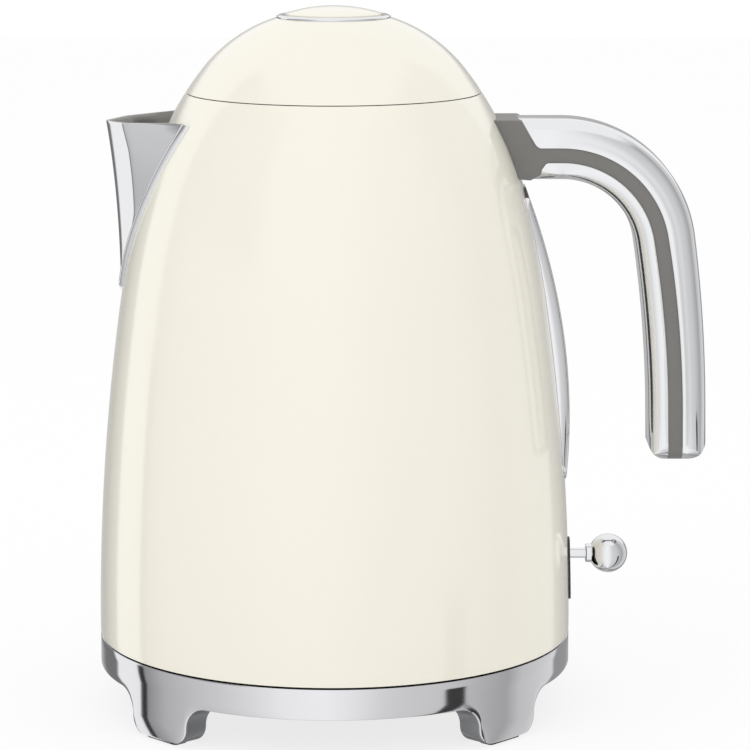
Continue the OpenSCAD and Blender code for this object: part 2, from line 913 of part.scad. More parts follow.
// ---- Handle: three strips that follow one bend, then a long gentle curve, then run straight down.
// Each edge is [radius of the bend, sweep of the bend, radius of the long curve, sweep of the long curve].
bend_z = handle_z - handle_bend;
edge_out = [handle_bend, 82, 500, 7];
edge_back = [handle_bend - handle_back_t, 80, 400, 9];
edge_front = [handle_bend - handle_back_t - core_t, 80, 400 - core_t, 9];
edge_in = [handle_bend - handle_t, 81, 450, 8];
handle_tilt = 89;

function bend_end(e) = [handle_bend_x + e[0] * sin(e[1]), bend_z + e[0] * cos(e[1])];
function curve_centre(e) = bend_end(e) - e[2] * [sin(e[1]), cos(e[1])];
function curve_end(e) = curve_centre(e) + e[2] * [sin(e[1] + e[3]), cos(e[1] + e[3])];

// What is cut away below the handle's rounded lower end
module end_cut2d() {
    end_r = 6;
    x_in = curve_end(edge_in)[0];
    x_out = curve_end(edge_out)[0];
    translate([0, handle_end_z])
        difference() {
            translate([handle_bend_x, -big]) square([big, big + end_r]);
            translate([(x_in + x_out) / 2, 0]) slab2d(x_out - x_in + 0.7, 0, 4 * end_r, end_r);
        }
}

bend_steps = 18;
curve_steps = 5;
edge_stops = bend_steps + curve_steps + 2;

// Stops along an edge: its straight start, its bend, its long curve and its straight end
function edge_at(e, start_x, i) =
    i == 0 ? [start_x, bend_z + e[0]]
    : i <= bend_steps + 1 ?
        let (a = e[1] * (i - 1) / bend_steps)
        [handle_bend_x + e[0] * sin(a), bend_z + e[0] * cos(a)]
    : i < edge_stops ?
        let (a = e[1] + e[3] * (i - 1 - bend_steps) / curve_steps)
        curve_centre(e) + e[2] * [sin(a), cos(a)]
    : curve_end(e) + (curve_end(e)[1] - handle_end_z + 5) * [cos(handle_tilt), -sin(handle_tilt)];

// A strip of the handle with a flat side on one edge and round corners on the other
module strip(base, crown, start_x, r) {
    corner = 6;
    half = handle_w / 2;
    rows = [
        for (i = [0:edge_stops])
            let (
                from = edge_at(base, start_x, i),
                to = edge_at(crown, start_x, i),
                t = norm(to - from),
                out = (to - from) / t,
                round_side = [
                    for (k = [0:corner])
                        let (a = 90 * k / corner)
                        [half - r * (1 - cos(a)), t - r * (1 - sin(a))]
                ],
                section = [
                    [-half, 0],
                    for (q = round_side) [-q[0], q[1]],
                    for (k = [corner:-1:0]) round_side[k],
                    [half, 0]
                ]
            )
            [for (q = section) [from[0] + out[0] * q[1], q[0], from[1] + out[1] * q[1]]]
    ];
    loft(crown[0] > base[0] ? rows : [for (row = rows) [for (k = [len(row) - 1:-1:0]) row[k]]]);
}

// Slanted joint between the grey mount and the chrome back
mount_top_x = skin_r(handle_z) + 9;
mount_bend_x = skin_r(handle_z - handle_back_t) + 8.5;
mount_sink = 8;          // the outline starts this far inside the body's side
shell_out_r = 7;         // corner radii of the outer and the inner shell
shell_in_r = 5;

module mount2d() {
    back = handle_z - handle_back_t;
    front = back - core_t;
    polygon([
        [skin_r(handle_z) - mount_sink, handle_z],
        [mount_top_x - 1.5, handle_z],
        [mount_top_x, handle_z - 1],
        [mount_bend_x, back + 1.6],
        [mount_bend_x + 0.8, back + 0.6],
        [mount_bend_x + 2.5, back - 0.3],
        [mount_bend_x + 5.6, front + 0.5],
        [mount_bend_x + 3.8, front - 0.6],
        [mount_bend_x + 2.6, front - 2.4],
        [mount_bend_x + 2.2, mount_low_z + mount_chin + 0.6],
        [mount_bend_x - 1.5, mount_low_z],
        [skin_r(mount_low_z) - mount_sink, mount_low_z + 1]
    ]);
}

module handle_core() {
    recess = 0.4;
    color(grey)
        difference() {
            union() {
                side_y(handle_w - 2 * recess) mount2d();
                side_y(handle_w - 2 * recess)
                    difference() {
                        polygon([
                            for (i = [0:edge_stops]) edge_at(edge_back, mount_bend_x - 1, i),
                            for (i = [edge_stops:-1:0]) edge_at(edge_front, mount_bend_x - 1, i)
                        ]);
                        end_cut2d();
                    }
            }
            barrel(-fit_gap, mount_low_z - 10, handle_z + 10);
            at_mount_screws() disc(mount_screw_r + fit_gap, -mount_screw_l, mount_screw_l + slide_gap, 48);
        }
}

module handle_outer_shell() {
    color(chrome)
        difference() {
            strip(edge_back, edge_out, skin_r(handle_z) + 2, shell_out_r);
            side_y(2 * handle_w) {
                mount2d();
                end_cut2d();
            }
        }
}

module handle_inner_shell() {
    color(chrome)
        difference() {
            strip(edge_front, edge_in, mount_bend_x, shell_in_r);
            side_y(2 * handle_w) {
                mount2d();
                end_cut2d();
            }
        }
}

module handle_screws() {
    under = -skin - slide_gap;
    color(steel)
        at_mount_screws() {
            disc(mount_head_r, under - mount_head_t, under, 48);
            disc(mount_screw_r, under - mount_head_t / 2, mount_screw_l, 48);
        }
}

// ---- Switch lever
ball_x = skin_r(lever_z) + ball_out;
rocker_x = skin_r(lever_z, skin) - 6.5;
stem_in = 6;           // length of the stem held in the rocker
collar_r = stem_r + 1.6;
collar_out = 1.2;      // length of the collar that shows behind the ball

module switch_lever() {
    color(chrome) {
        translate([0, 0, lever_z]) rotate([0, 90, 0]) {
            disc(stem_r, rocker_x - stem_in, ball_x - ball_r / 2, 48);
            disc(collar_r, ball_x - ball_r - collar_out, ball_x - ball_r + collar_out, 48);
        }
        translate([ball_x, 0, lever_z]) sphere(r = ball_r, $fn = 96);
    }
}

module lever_rocker() {
    boss = 4;
    width = 2 * ear_in - 2 * ear_gap;
    arm_half = 3.2;
    color(black)
        difference() {
            union() {
                rod_y(pivot_x, pivot_z, boss, width);
                translate([pivot_x, -boss, pivot_z - arm_half])
                    cube([rocker_x - pivot_x, 2 * boss, 2 * arm_half]);
            }
            rod_y(pivot_x, pivot_z, pivot_r + run_gap, 2 * width);
            translate([0, 0, lever_z]) rotate([0, 90, 0]) disc(stem_r, rocker_x - stem_in, rocker_x + 1, 48);
        }
}

// ---- Lid
cup_r = neck_r - 1;
cup_wall = 1.2;
cup_z = neck_top - neck_t;
cup_cut_x = hinge_x - 18.3;
flange_t = 1.5;
flange_r = skin_r(lid_z + flange_t, skin) - 0.4;
button_gap = 0.3;      // round the button
guide_wall = 1.3;
guide_r = button_r + button_gap + guide_wall;
crown_z = skin_top(button_r);
post_l = 9;            // length of the post under the latch's bar
post_x = 19.5 - cup_r;

// Height of the dome's surface at a distance from the axis
function skin_top(r) =
    let (k = len(ARCS) - 1)
    centre_z(k) + sqrt(ARCS[k][0] ^ 2 - (r - centre_r(k)) ^ 2);

module lid_dome() {
    color(cream)
        difference() {
            layer(0, skin, lid_z, crown_z + 5);
            disc(guide_r + fit_gap, crown_z - 5, crown_z + 10);
        }
}

module cup2d(r, cut) {
    intersection() {
        circle(r = r, $fn = fine);
        translate([-r, -r]) square([r + cut, 2 * r]);
    }
}

module lid_inner_plate() {
    slot_low = latch_z - slide_gap;
    color(grey)
        difference() {
            union() {
                disc(flange_r, lid_z, lid_z + flange_t, fine);
                translate([0, 0, cup_z]) linear_extrude(lid_z - cup_z + 0.5) cup2d(cup_r, cup_cut_x);
            }
            difference() {
                translate([0, 0, cup_z + cup_wall])
                    linear_extrude(lid_z) cup2d(cup_r - cup_wall, cup_cut_x - cup_wall);
                translate([post_x, -latch_w / 2 - latch_side, cup_z])
                    cube([post_l, latch_w + 2 * latch_side, latch_bar_z - slide_gap - cup_z]);
            }
            translate([-cup_r - 1, -latch_w / 2 - slide_gap, slot_low])
                cube([4, latch_w + 2 * slide_gap, latch_t + 2 * slide_gap]);
        }
}

module lid_gasket() {
    color(silicone)
        difference() {
            ring(neck_r + 3.5, cup_r + fit_gap, neck_top + slide_gap, lid_z, fine);
            translate([hinge_x - 8.2, -big / 2, neck_top - 1]) cube([big, big, 10]);
            translate([hinge_x - arm_in - arm_t - 0.5, -arm_w / 2 - 0.5, neck_top - 1])
                cube([big, arm_w + 1, 10]);
        }
}

// Chrome ring round the button, its outer edge down on the dome
collar_w = 3.2;        // from the button's side to the ring's outer edge
collar_h = 0.7;        // height of the ring over the dome
collar_edge_h = 0.4;
collar_slope_w = 0.8;
button_corner = 0.6;
ring_r = button_r + collar_w;
ring_seat_z = skin_top(ring_r) - 0.6;

module button_ring() {
    top = skin_top(button_r + 2) + collar_h;
    edge_z = skin_top(ring_r);
    bore = button_r + button_gap;
    color(chrome)
        difference() {
            rotate_extrude($fn = fine)
                polygon([
                    [bore, ring_seat_z],
                    [ring_r, ring_seat_z],
                    [ring_r, edge_z + collar_edge_h],
                    [ring_r - collar_slope_w, top],
                    [bore + button_corner, top],
                    [bore, top - button_corner]
                ]);
            barrel(-fit_gap, lid_z + 5, crown_z + 9);
        }
}

guide_h = 11;
guide_z = crown_z - guide_h;
guide_floor = 1.5;
plunger_r = 4;
stem_bore = plunger_r + slide_gap;

module button_guide() {
    color(black) {
        ring(guide_r, button_r + button_gap, guide_z, ring_seat_z);
        ring(guide_r - guide_wall / 2, stem_bore, guide_z, guide_z + guide_floor);
    }
}

cap_t = 2.4;           // thickness of the button's rim over its hollow
cap_over = 0.6;        // how far the rim stands over the dome's surface beside it
cap_wall = 1.5;
cap_skirt = 6;
cap_under = crown_z + cap_over - cap_t;
coil_r = plunger_r + 2.2;
coil_wire = 0.5;
coil_turns = 5;

// Round wire wound into a spring, with 20 rings of wire a turn
module button_spring() {
    rings = coil_turns * 20;
    sides = 6;
    low = guide_z + guide_floor + coil_wire + 0.05;
    rise = cap_under - coil_wire - 0.05 - low;
    color(steel)
        loft([
            for (i = [0:rings])
                let (a = 360 * coil_turns * i / rings)
                [
                    for (j = [0:sides - 1])
                        let (b = -360 * j / sides, r = coil_r + coil_wire * cos(b))
                        [r * cos(a), r * sin(a), low + rise * i / rings + coil_wire * sin(b)]
                ]
        ]);
}

// The button's stem ends in a slanted blade that draws the latch back as it goes down
blade_slope = 0.6;
blade_w = 6;
blade_t = 4;
blade_over = 1.5;      // how far the blade reaches past the bar, up and down
latch_step = 4.6;
latch_bar_z = latch_z + latch_step;
blade_low = latch_bar_z - blade_over;
blade_high = latch_bar_z + latch_t + button_travel + blade_over;

function blade_x(z) = blade_slope * (z - latch_bar_z);

module blade2d(grow, z0, z1) {
    half = blade_t / 2 + grow;
    polygon([
        [blade_x(z0) - half, z0], [blade_x(z0) + half, z0], [blade_x(z1) + half, z1], [blade_x(z1) - half, z1]
    ]);
}

module lid_button() {
    top = crown_z + cap_over;
    skirt_z = crown_z - cap_skirt;
    crown_r = (button_r ^ 2 + button_crown ^ 2) / (2 * button_crown);
    color(cream) {
        difference() {
            union() {
                disc(button_r, skirt_z, top);
                intersection() {
                    translate([0, 0, top + button_crown - crown_r]) sphere(r = crown_r, $fn = fine);
                    disc(button_r, top - 0.5, top + button_crown + 1);
                }
            }
            disc(button_r - cap_wall, skirt_z - 1, cap_under);
        }
        disc(plunger_r, blade_high - 0.5, cap_under + 0.5, 48);
        side_y(blade_w) blade2d(0, blade_low, blade_high);
    }
}

// Slide that holds the lid shut: a low nose under the neck's lip and a raised bar under the button
module lid_latch() {
    nose_x = -neck_r - latch_reach;
    step_x = 9.5 - cup_r;
    step_t = 2.5;
    tail_x = 9;
    color(black)
        difference() {
            side_y(latch_w) {
                translate([nose_x, latch_z]) square([step_x - nose_x, latch_t]);
                translate([step_x - step_t, latch_z]) square([step_t, latch_step + latch_t]);
                translate([step_x - step_t, latch_bar_z]) square([tail_x - step_x + step_t, latch_t]);
            }
            side_y(blade_w + 2 * slide_gap)
                blade2d(slide_gap, latch_bar_z - 1, latch_bar_z + latch_t + 1);
        }
}

base_ring();
foot_pads();
base_top_plate();
base_bottom_plate();
base_screws();
cord_gland();
base_socket();
socket_contacts();
kettle_connector();
connector_pins();
outer_shell();
bottom_cover();
heating_plate();
heating_element();
control_unit();
lever_pin();
slot_bezel();
steam_tube();
window_lens();
window_trim();
window_gasket();
spout();
spout_trim();
filter_frame();
filter_mesh();
neck_ring();
hinge_bracket();
hinge_pin();
handle_core();
handle_outer_shell();
handle_inner_shell();
handle_screws();
switch_lever();
lever_rocker();
lid_dome();
lid_inner_plate();
lid_gasket();
hinge_arm();
button_ring();
button_guide();
button_spring();
lid_button();
lid_latch();
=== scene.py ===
"""Electric kettle on its power base: finishes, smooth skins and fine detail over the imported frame.

Every length is in metres, +Z up along the kettle's own axis, +X towards the handle and -X towards the spout.
"""

import logging
import math
import sys
from collections.abc import Callable
from dataclasses import dataclass, field, replace
from enum import Enum

import bmesh
import bpy
from mathutils import Matrix, Vector

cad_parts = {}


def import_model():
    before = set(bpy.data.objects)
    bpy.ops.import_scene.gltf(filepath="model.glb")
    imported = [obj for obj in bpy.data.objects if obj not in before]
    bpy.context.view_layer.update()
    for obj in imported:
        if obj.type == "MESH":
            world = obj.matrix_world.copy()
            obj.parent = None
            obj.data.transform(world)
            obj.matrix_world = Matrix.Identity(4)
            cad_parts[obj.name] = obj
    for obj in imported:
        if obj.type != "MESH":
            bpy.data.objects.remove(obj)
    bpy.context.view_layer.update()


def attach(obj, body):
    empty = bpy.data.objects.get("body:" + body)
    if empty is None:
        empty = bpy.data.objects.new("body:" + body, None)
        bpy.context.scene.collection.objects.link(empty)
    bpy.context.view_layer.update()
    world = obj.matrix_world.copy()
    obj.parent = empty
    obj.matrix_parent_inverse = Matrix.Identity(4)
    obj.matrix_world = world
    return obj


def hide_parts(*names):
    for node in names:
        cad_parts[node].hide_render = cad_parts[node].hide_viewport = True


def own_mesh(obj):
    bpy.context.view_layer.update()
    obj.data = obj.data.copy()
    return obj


LOG = logging.getLogger("kettle")
MM = 0.001
AXIS = 0.01 * MM
INSIDE = "inside"
Point = tuple[float, float, float]
Flat = tuple[float, float]
Colour = tuple[float, float, float]
Tones = tuple[Colour, Colour]


# ---------------------------------------------------------------- node trees
class Value:
    """A number that flows through a node tree; Python's operators on it add Math nodes."""

    def __init__(self, graph: "Graph", socket: bpy.types.NodeSocket) -> None:
        """Wraps an output socket of a graph."""
        self.graph = graph
        self.socket = socket

    def _math(self, operation: str, *others: "Value | float", swap: bool = False) -> "Value":
        """Adds one Math node.

        Args:
            operation: the node's operation.
            others: the values that come after this one.
            swap: whether this value comes second.

        Returns:
            The node's result.
        """
        terms = [self, *others]
        if swap:
            terms.reverse()
        return self.graph.node("ShaderNodeMath", {"operation": operation}, *terms)

    def __add__(self, other: "Value | float") -> "Value":
        """Sum."""
        return self._math("ADD", other)

    __radd__ = __add__

    def __sub__(self, other: "Value | float") -> "Value":
        """Difference."""
        return self._math("SUBTRACT", other)

    def __rsub__(self, other: "Value | float") -> "Value":
        """Difference, reflected."""
        return self._math("SUBTRACT", other, swap=True)

    def __mul__(self, other: "Value | float") -> "Value":
        """Product."""
        return self._math("MULTIPLY", other)

    __rmul__ = __mul__

    def __truediv__(self, other: "Value | float") -> "Value":
        """Quotient."""
        return self._math("DIVIDE", other)

    def __rtruediv__(self, other: "Value | float") -> "Value":
        """Quotient, reflected."""
        return self._math("DIVIDE", other, swap=True)

    def clamp(self) -> "Value":
        """The value kept between 0 and 1."""
        return self.graph.node("ShaderNodeClamp", {}, self, 0.0, 1.0)

    def between(self, low: float, high: float, soft: float) -> "Value":
        """1 inside a band of this value and 0 outside it, with soft edges."""
        rise = ((self - (low - soft)) / (2 * soft)).clamp()
        fall = ((self - (high - soft)) / (2 * soft)).clamp()
        return rise - fall


class Graph:
    """A node tree under construction."""

    def __init__(self, tree: bpy.types.NodeTree) -> None:
        """Starts on an emptied tree."""
        self.tree = tree
        tree.nodes.clear()

    def make(self, kind: str, settings: dict[str, object]) -> bpy.types.Node:
        """Adds a node and sets its own settings first."""
        node = self.tree.nodes.new(kind)
        for key, setting in settings.items():
            setattr(node, key, setting)
        return node

    def feed(self, socket: bpy.types.NodeSocket, item: object) -> None:
        """Links or sets one input."""
        if isinstance(item, Value):
            self.tree.links.new(item.socket, socket)
        elif isinstance(item, bpy.types.NodeSocket):
            self.tree.links.new(item, socket)
        elif item is not None:
            socket.default_value = item

    def node(
        self, kind: str, settings: dict[str, object], *inputs: object, out: int | str = 0, **named: object
    ) -> Value:
        """Adds a node with its inputs.

        Args:
            kind: the node's type.
            settings: the node's own settings, applied before its inputs.
            inputs: values or links in the order of the node's sockets; None leaves one alone.
            out: which output to return.
            named: inputs by name, with underscores for spaces.

        Returns:
            The chosen output.
        """
        node = self.make(kind, settings)
        for socket, item in zip(node.inputs, inputs):
            self.feed(socket, item)
        for name, item in named.items():
            self.feed(node.inputs[name.replace("_", " ")], item)
        return Value(self, node.outputs[out])

    def blend(self, factor: "Value | float", low: object, high: object) -> Value:
        """Mixes two colours by a factor."""
        node = self.make("ShaderNodeMix", {"data_type": "RGBA"})
        for index, item in ((0, factor), (6, low), (7, high)):
            self.feed(node.inputs[index], item)
        return Value(self, node.outputs[2])

    def place(self, scale: Point) -> Value:
        """Object coordinates, stretched by a factor along each axis."""
        source = self.node("ShaderNodeTexCoord", {}, out="Object")
        return self.node("ShaderNodeMapping", {}, source, Scale=scale)

    def noise(self, where: Value, scale: float, detail: float = 2.0) -> Value:
        """Fractal noise between 0 and 1."""
        return self.node("ShaderNodeTexNoise", {}, Vector=where, Scale=scale, Detail=detail)

    def close(self, shader: Value, output: str = "ShaderNodeOutputMaterial") -> None:
        """Joins the finished shader to the tree's output."""
        self.feed(self.make(output, {}).inputs["Surface"], shader)


# ---------------------------------------------------------------- finishes
class Grain(Enum):
    """How a surface breaks up close to."""

    PEEL = "sprayed enamel, faintly rippled"
    POLISH = "mirror polish with hair lines"
    TURNED = "fine lines round the vertical axis"
    BRUSHED = "straight brushing"
    MOULDED = "fine spark-eroded mould texture"
    SOFT = "soft rubber skin"
    CLEAR = "clear moulding"


@dataclass(frozen=True)
class Finish:
    """One surface finish of the kettle; its painted shade is the darker tone painted on faces that lie in shade, in
    place of the dark surroundings they would mirror.
    """

    name: str
    slot: str
    grain: Grain
    colour: Colour
    shade: Colour
    metallic: float = 0.0
    roughness: float = 0.4
    spread: float = 0.08
    coat: float = 0.0
    alpha: float = 1.0
    painted_shade: float = 0.0

    def _pattern(self, graph: Graph) -> tuple[Value, Value, float, float]:
        """The grain's fine height, its slow variation, and the bump's strength and depth.

        Args:
            graph: the material's node tree.

        Returns:
            Fine height, slow variation, bump strength, bump distance.
        """
        plain = graph.place((1, 1, 1))
        slow = graph.noise(plain, 38, 3)
        if self.grain is Grain.PEEL:
            return graph.noise(plain, 420, 1), graph.noise(plain, 14, 2), 0.06, 0.00004
        if self.grain is Grain.POLISH:
            return graph.noise(graph.place((40, 40, 900)), 6, 3), slow, 0.03, 0.00003
        if self.grain is Grain.TURNED:
            return graph.noise(graph.place((16, 16, 1900)), 4, 4), slow, 0.10, 0.00003
        if self.grain is Grain.BRUSHED:
            return graph.noise(graph.place((18, 1400, 1400)), 3, 3), slow, 0.16, 0.00005
        if self.grain is Grain.MOULDED:
            cells = graph.node("ShaderNodeTexVoronoi", {"feature": "SMOOTH_F1"}, Vector=plain, Scale=2600.0)
            return cells, slow, 0.22, 0.00006
        if self.grain is Grain.SOFT:
            return graph.noise(plain, 1800, 3), slow, 0.30, 0.00006
        return graph.noise(plain, 90, 1), slow, 0.02, 0.00003

    def material(self) -> bpy.types.Material:
        """Builds the material once and hands out the same one afterwards.

        Returns:
            The finish as a Blender material.
        """
        known = bpy.data.materials.get(self.name)
        if known:
            return known
        made = bpy.data.materials.new(self.name)
        made.use_nodes = True
        graph = Graph(made.node_tree)
        fine, slow, strength, depth = self._pattern(graph)
        colour = graph.blend((slow * 0.7 + fine * 0.3).clamp(), (*self.colour, 1), (*self.shade, 1))
        rough = (self.roughness - self.spread) + (slow * 0.5 + fine * 0.5) * (2 * self.spread)
        # Painted shade: faces marked as lying in shade are painted a darker, faintly bluish tone and also made
        # rougher.
        if self.painted_shade:
            inside = graph.node("ShaderNodeAttribute", {"attribute_name": INSIDE}, out="Fac")
            shaded_colour = (self.painted_shade, self.painted_shade * 1.01, self.painted_shade * 1.06, 1)
            colour, rough = graph.blend(inside, colour, shaded_colour), rough + inside * 0.3
        bump = graph.node("ShaderNodeBump", {}, Strength=strength, Distance=depth, Height=fine)
        body = graph.node(
            "ShaderNodeBsdfPrincipled",
            {},
            Base_Color=colour,
            Metallic=self.metallic,
            Roughness=rough,
            Normal=bump,
            Alpha=self.alpha,
            Coat_Weight=self.coat,
            Coat_Roughness=0.03,
        )
        graph.close(body)
        made.diffuse_color = (*self.colour, self.alpha)
        return made


def metal(name: str, slot: str, grain: Grain, tones: Tones, roughness: float, spread: float) -> Finish:
    """A bare metal finish, with its two tones, its roughness and how far that varies."""
    return Finish(name, slot, grain, *tones, metallic=1.0, roughness=roughness, spread=spread)


CREAM: Tones = ((0.865, 0.835, 0.735), (0.845, 0.812, 0.705))
BRIGHT: Tones = ((0.84, 0.845, 0.86), (0.80, 0.805, 0.825))
SATIN: Tones = ((0.80, 0.80, 0.825), (0.76, 0.76, 0.785))
DULL: Tones = ((0.60, 0.605, 0.615), (0.52, 0.525, 0.535))
GOLD: Tones = ((0.72, 0.54, 0.24), (0.62, 0.45, 0.19))

ENAMEL = Finish("cream_enamel", "cream_paint", Grain.PEEL, *CREAM, roughness=0.16, spread=0.03, coat=0.7)
BUTTON_CREAM = Finish("cream_gloss", "cream_plastic", Grain.PEEL, *CREAM, roughness=0.2, spread=0.03, coat=0.5)
CHROME = metal("bright_chrome", "polished_metal", Grain.POLISH, BRIGHT, 0.055, 0.02)
# Carries painted shade on the beak's inward faces, darker and faintly bluish.
BEAK_CHROME = replace(CHROME, name="beak_chrome", painted_shade=0.42)
# Carries painted shade on the ring's marked faces, the feet's inner sides and ends.
RING_METAL = replace(
    metal("ring_aluminium", "polished_aluminium", Grain.TURNED, SATIN, 0.08, 0.02), painted_shade=0.30
)
HANDLE_METAL = metal("handle_aluminium", "polished_aluminium", Grain.POLISH, BRIGHT, 0.07, 0.02)
STEEL = metal("inner_steel", "inner_steel", Grain.BRUSHED, DULL, 0.30, 0.07)
BRASS = metal("plain_brass", "brass", Grain.BRUSHED, GOLD, 0.24, 0.06)
GREY = Finish(
    "warm_grey_moulding", "grey_plastic", Grain.MOULDED,
    (0.185, 0.180, 0.170), (0.160, 0.156, 0.148), roughness=0.42, spread=0.06,
)
PALE = Finish(
    "pale_grey_moulding", "grey_plastic", Grain.MOULDED,
    (0.60, 0.585, 0.53), (0.56, 0.545, 0.49), roughness=0.42, spread=0.06,
)
BLACK = Finish(
    "black_moulding", "black_plastic", Grain.MOULDED,
    (0.026, 0.026, 0.028), (0.018, 0.018, 0.020), roughness=0.40, spread=0.07,
)
UNDER = Finish(
    "underside_moulding", "black_plastic", Grain.MOULDED,
    (0.20, 0.20, 0.195), (0.17, 0.17, 0.165), roughness=0.42, spread=0.06,
)
RUBBER = Finish(
    "black_rubber", "rubber_black", Grain.SOFT,
    (0.030, 0.030, 0.031), (0.020, 0.020, 0.021), roughness=0.68, spread=0.07,
)
SILICONE = Finish(
    "pale_silicone", "silicone", Grain.SOFT,
    (0.60, 0.60, 0.57), (0.54, 0.54, 0.51), roughness=0.55, spread=0.06,
)
# Painted shade: the clear strip is made nearly black and mostly opaque, standing for the shade inside the kettle
# seen through it.
LENS = Finish(
    "clear_strip", "clear_plastic", Grain.CLEAR,
    (0.07, 0.074, 0.08), (0.055, 0.058, 0.062), roughness=0.06, spread=0.02, alpha=0.8,
)


# ---------------------------------------------------------------- mesh work
def link(name: str, mesh: bpy.types.Mesh) -> bpy.types.Object:
    """A new object in the scene that shows a mesh."""
    obj = bpy.data.objects.new(name, mesh)
    bpy.context.scene.collection.objects.link(obj)
    return obj


def settle(obj: bpy.types.Object) -> bpy.types.Object:
    """Applies an object's modifiers by taking its evaluated mesh.

    Args:
        obj: the object with live modifiers.

    Returns:
        The same object with a plain mesh.
    """
    bpy.context.view_layer.update()
    graph = bpy.context.evaluated_depsgraph_get()
    mesh = bpy.data.meshes.new_from_object(obj.evaluated_get(graph))
    obj.modifiers.clear()
    obj.data = mesh
    return obj


def build(name: str, points: list[Point], faces: list[tuple[int, ...]]) -> bpy.types.Object:
    """Makes a mesh object with outward faces.

    Args:
        name: the object's name.
        points: its vertices.
        faces: its faces by vertex number.

    Returns:
        The new object, linked to the scene.
    """
    mesh = bpy.data.meshes.new(name)
    mesh.from_pydata(points, [], faces)
    work = bmesh.new()
    work.from_mesh(mesh)
    bmesh.ops.remove_doubles(work, verts=work.verts, dist=1e-7)
    bmesh.ops.dissolve_degenerate(work, edges=work.edges, dist=1e-8)
    bmesh.ops.recalc_face_normals(work, faces=work.faces)
    work.to_mesh(mesh)
    work.free()
    return link(name, mesh)


def loft(name: str, rows: list[list[Point]], ring: bool = False) -> bpy.types.Object:
    """Skins closed loops of points.

    Args:
        name: the object's name.
        rows: loops with as many points each.
        ring: whether the last loop joins the first; otherwise both ends are capped.

    Returns:
        The closed mesh as an object.
    """
    n, count = len(rows[0]), len(rows)
    points = [p for row in rows for p in row]
    faces: list[tuple[int, ...]] = []
    for k in range(count if ring else count - 1):
        for i in range(n):
            a, b = k * n + i, k * n + (i + 1) % n
            c, d = ((k + 1) % count) * n + (i + 1) % n, ((k + 1) % count) * n + i
            faces.append((a, b, c, d))
    if not ring:
        faces += [tuple(range(n)), tuple((count - 1) * n + i for i in reversed(range(n)))]
    return build(name, points, faces)


def lathe(name: str, outline: list[Flat], turns: int = 256) -> bpy.types.Object:
    """Spins a closed outline of (radius, height) about the vertical axis."""
    rows = [
        [(r * math.cos(a), r * math.sin(a), z) for r, z in outline]
        for a in (math.tau * k / turns for k in range(turns))
    ]
    return loft(name, rows, ring=True)


def prism(name: str, outline: list[Flat], axis: str, low: float, high: float) -> bpy.types.Object:
    """Pushes a closed outline along X, given as (y, z), or along Y, given as (x, z)."""
    if axis == "x":
        rows = [[(at, u, v) for u, v in outline] for at in (low, high)]
    else:
        rows = [[(u, at, v) for u, v in outline] for at in (low, high)]
    return loft(name, rows)


def cut(obj: bpy.types.Object, *cutters: bpy.types.Object, operation: str = "DIFFERENCE") -> bpy.types.Object:
    """Takes the cutters away from an object, or keeps what is common, and deletes them.

    Args:
        obj: the object to work on.
        cutters: closed meshes.
        operation: the boolean's operation.

    Returns:
        The worked object.
    """
    for cutter in cutters:
        step = obj.modifiers.new("cut", "BOOLEAN")
        step.operation, step.solver, step.object = operation, "EXACT", cutter
        settle(obj)
        bpy.data.objects.remove(cutter)
    return obj


def soften(obj: bpy.types.Object, width: float, segments: int = 3, limit: float = 35.0) -> bpy.types.Object:
    """Rounds an object's sharp edges."""
    step = obj.modifiers.new("soften", "BEVEL")
    step.width, step.segments, step.limit_method = width, segments, "ANGLE"
    step.angle_limit, step.use_clamp_overlap, step.miter_outer = math.radians(limit), True, "MITER_ARC"
    return settle(obj)


def shade(obj: bpy.types.Object, angle: float = 32.0) -> bpy.types.Object:
    """Shades smooth, with edges sharper than an angle kept crisp."""
    obj.data.polygons.foreach_set("use_smooth", [True] * len(obj.data.polygons))
    obj.data.set_sharp_from_angle(angle=math.radians(angle))
    return obj


def mark_painted_shade(obj: bpy.types.Object, hidden: Callable[[Vector, Vector], bool]) -> None:
    """Marks the faces of a piece that get painted shade.

    Args:
        obj: the piece.
        hidden: tells from a face's middle and the level part of its normal whether it gets painted shade.
    """
    marks = obj.data.attributes.new(INSIDE, "FLOAT", "FACE")
    for face, mark in zip(obj.data.polygons, marks.data):
        mark.value = float(hidden(face.center, face.normal.xy))


def merged_copy(node: str, name: str, width: float = 0.0) -> bpy.types.Object:
    """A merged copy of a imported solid, with its flat faces rejoined and its edges softened.

    Args:
        node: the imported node.
        name: the copy's name.
        width: radius of the softened edges; 0 leaves them crisp.

    Returns:
        The copy, linked to the scene.
    """
    source = bpy.data.objects[node]
    mesh = source.data.copy()
    mesh.materials.clear()
    work = bmesh.new()
    work.from_mesh(mesh)
    bmesh.ops.remove_doubles(work, verts=work.verts, dist=2e-6)
    bmesh.ops.dissolve_limit(work, angle_limit=math.radians(0.6), verts=work.verts, edges=work.edges)
    work.to_mesh(mesh)
    work.free()
    obj = link(name, mesh)
    if width:
        soften(obj, width, 2, 40)
    return obj


def arc(centre: Flat, radius: float, start: float, end: float, steps: int) -> list[Flat]:
    """Points along an arc, with angles in degrees from the first axis."""
    angles = (math.radians(start + (end - start) * k / steps) for k in range(steps + 1))
    return [(centre[0] + radius * math.cos(a), centre[1] + radius * math.sin(a)) for a in angles]


def slab(width: float, low: float, high: float, radius: float, steps: int = 10) -> list[Flat]:
    """A rectangle with round corners as (across, height)."""
    w = width / 2 - radius
    return [
        *arc((w, low + radius), radius, -90, 0, steps),
        *arc((w, high - radius), radius, 0, 90, steps),
        *arc((-w, high - radius), radius, 90, 180, steps),
        *arc((-w, low + radius), radius, 180, 270, steps),
    ]


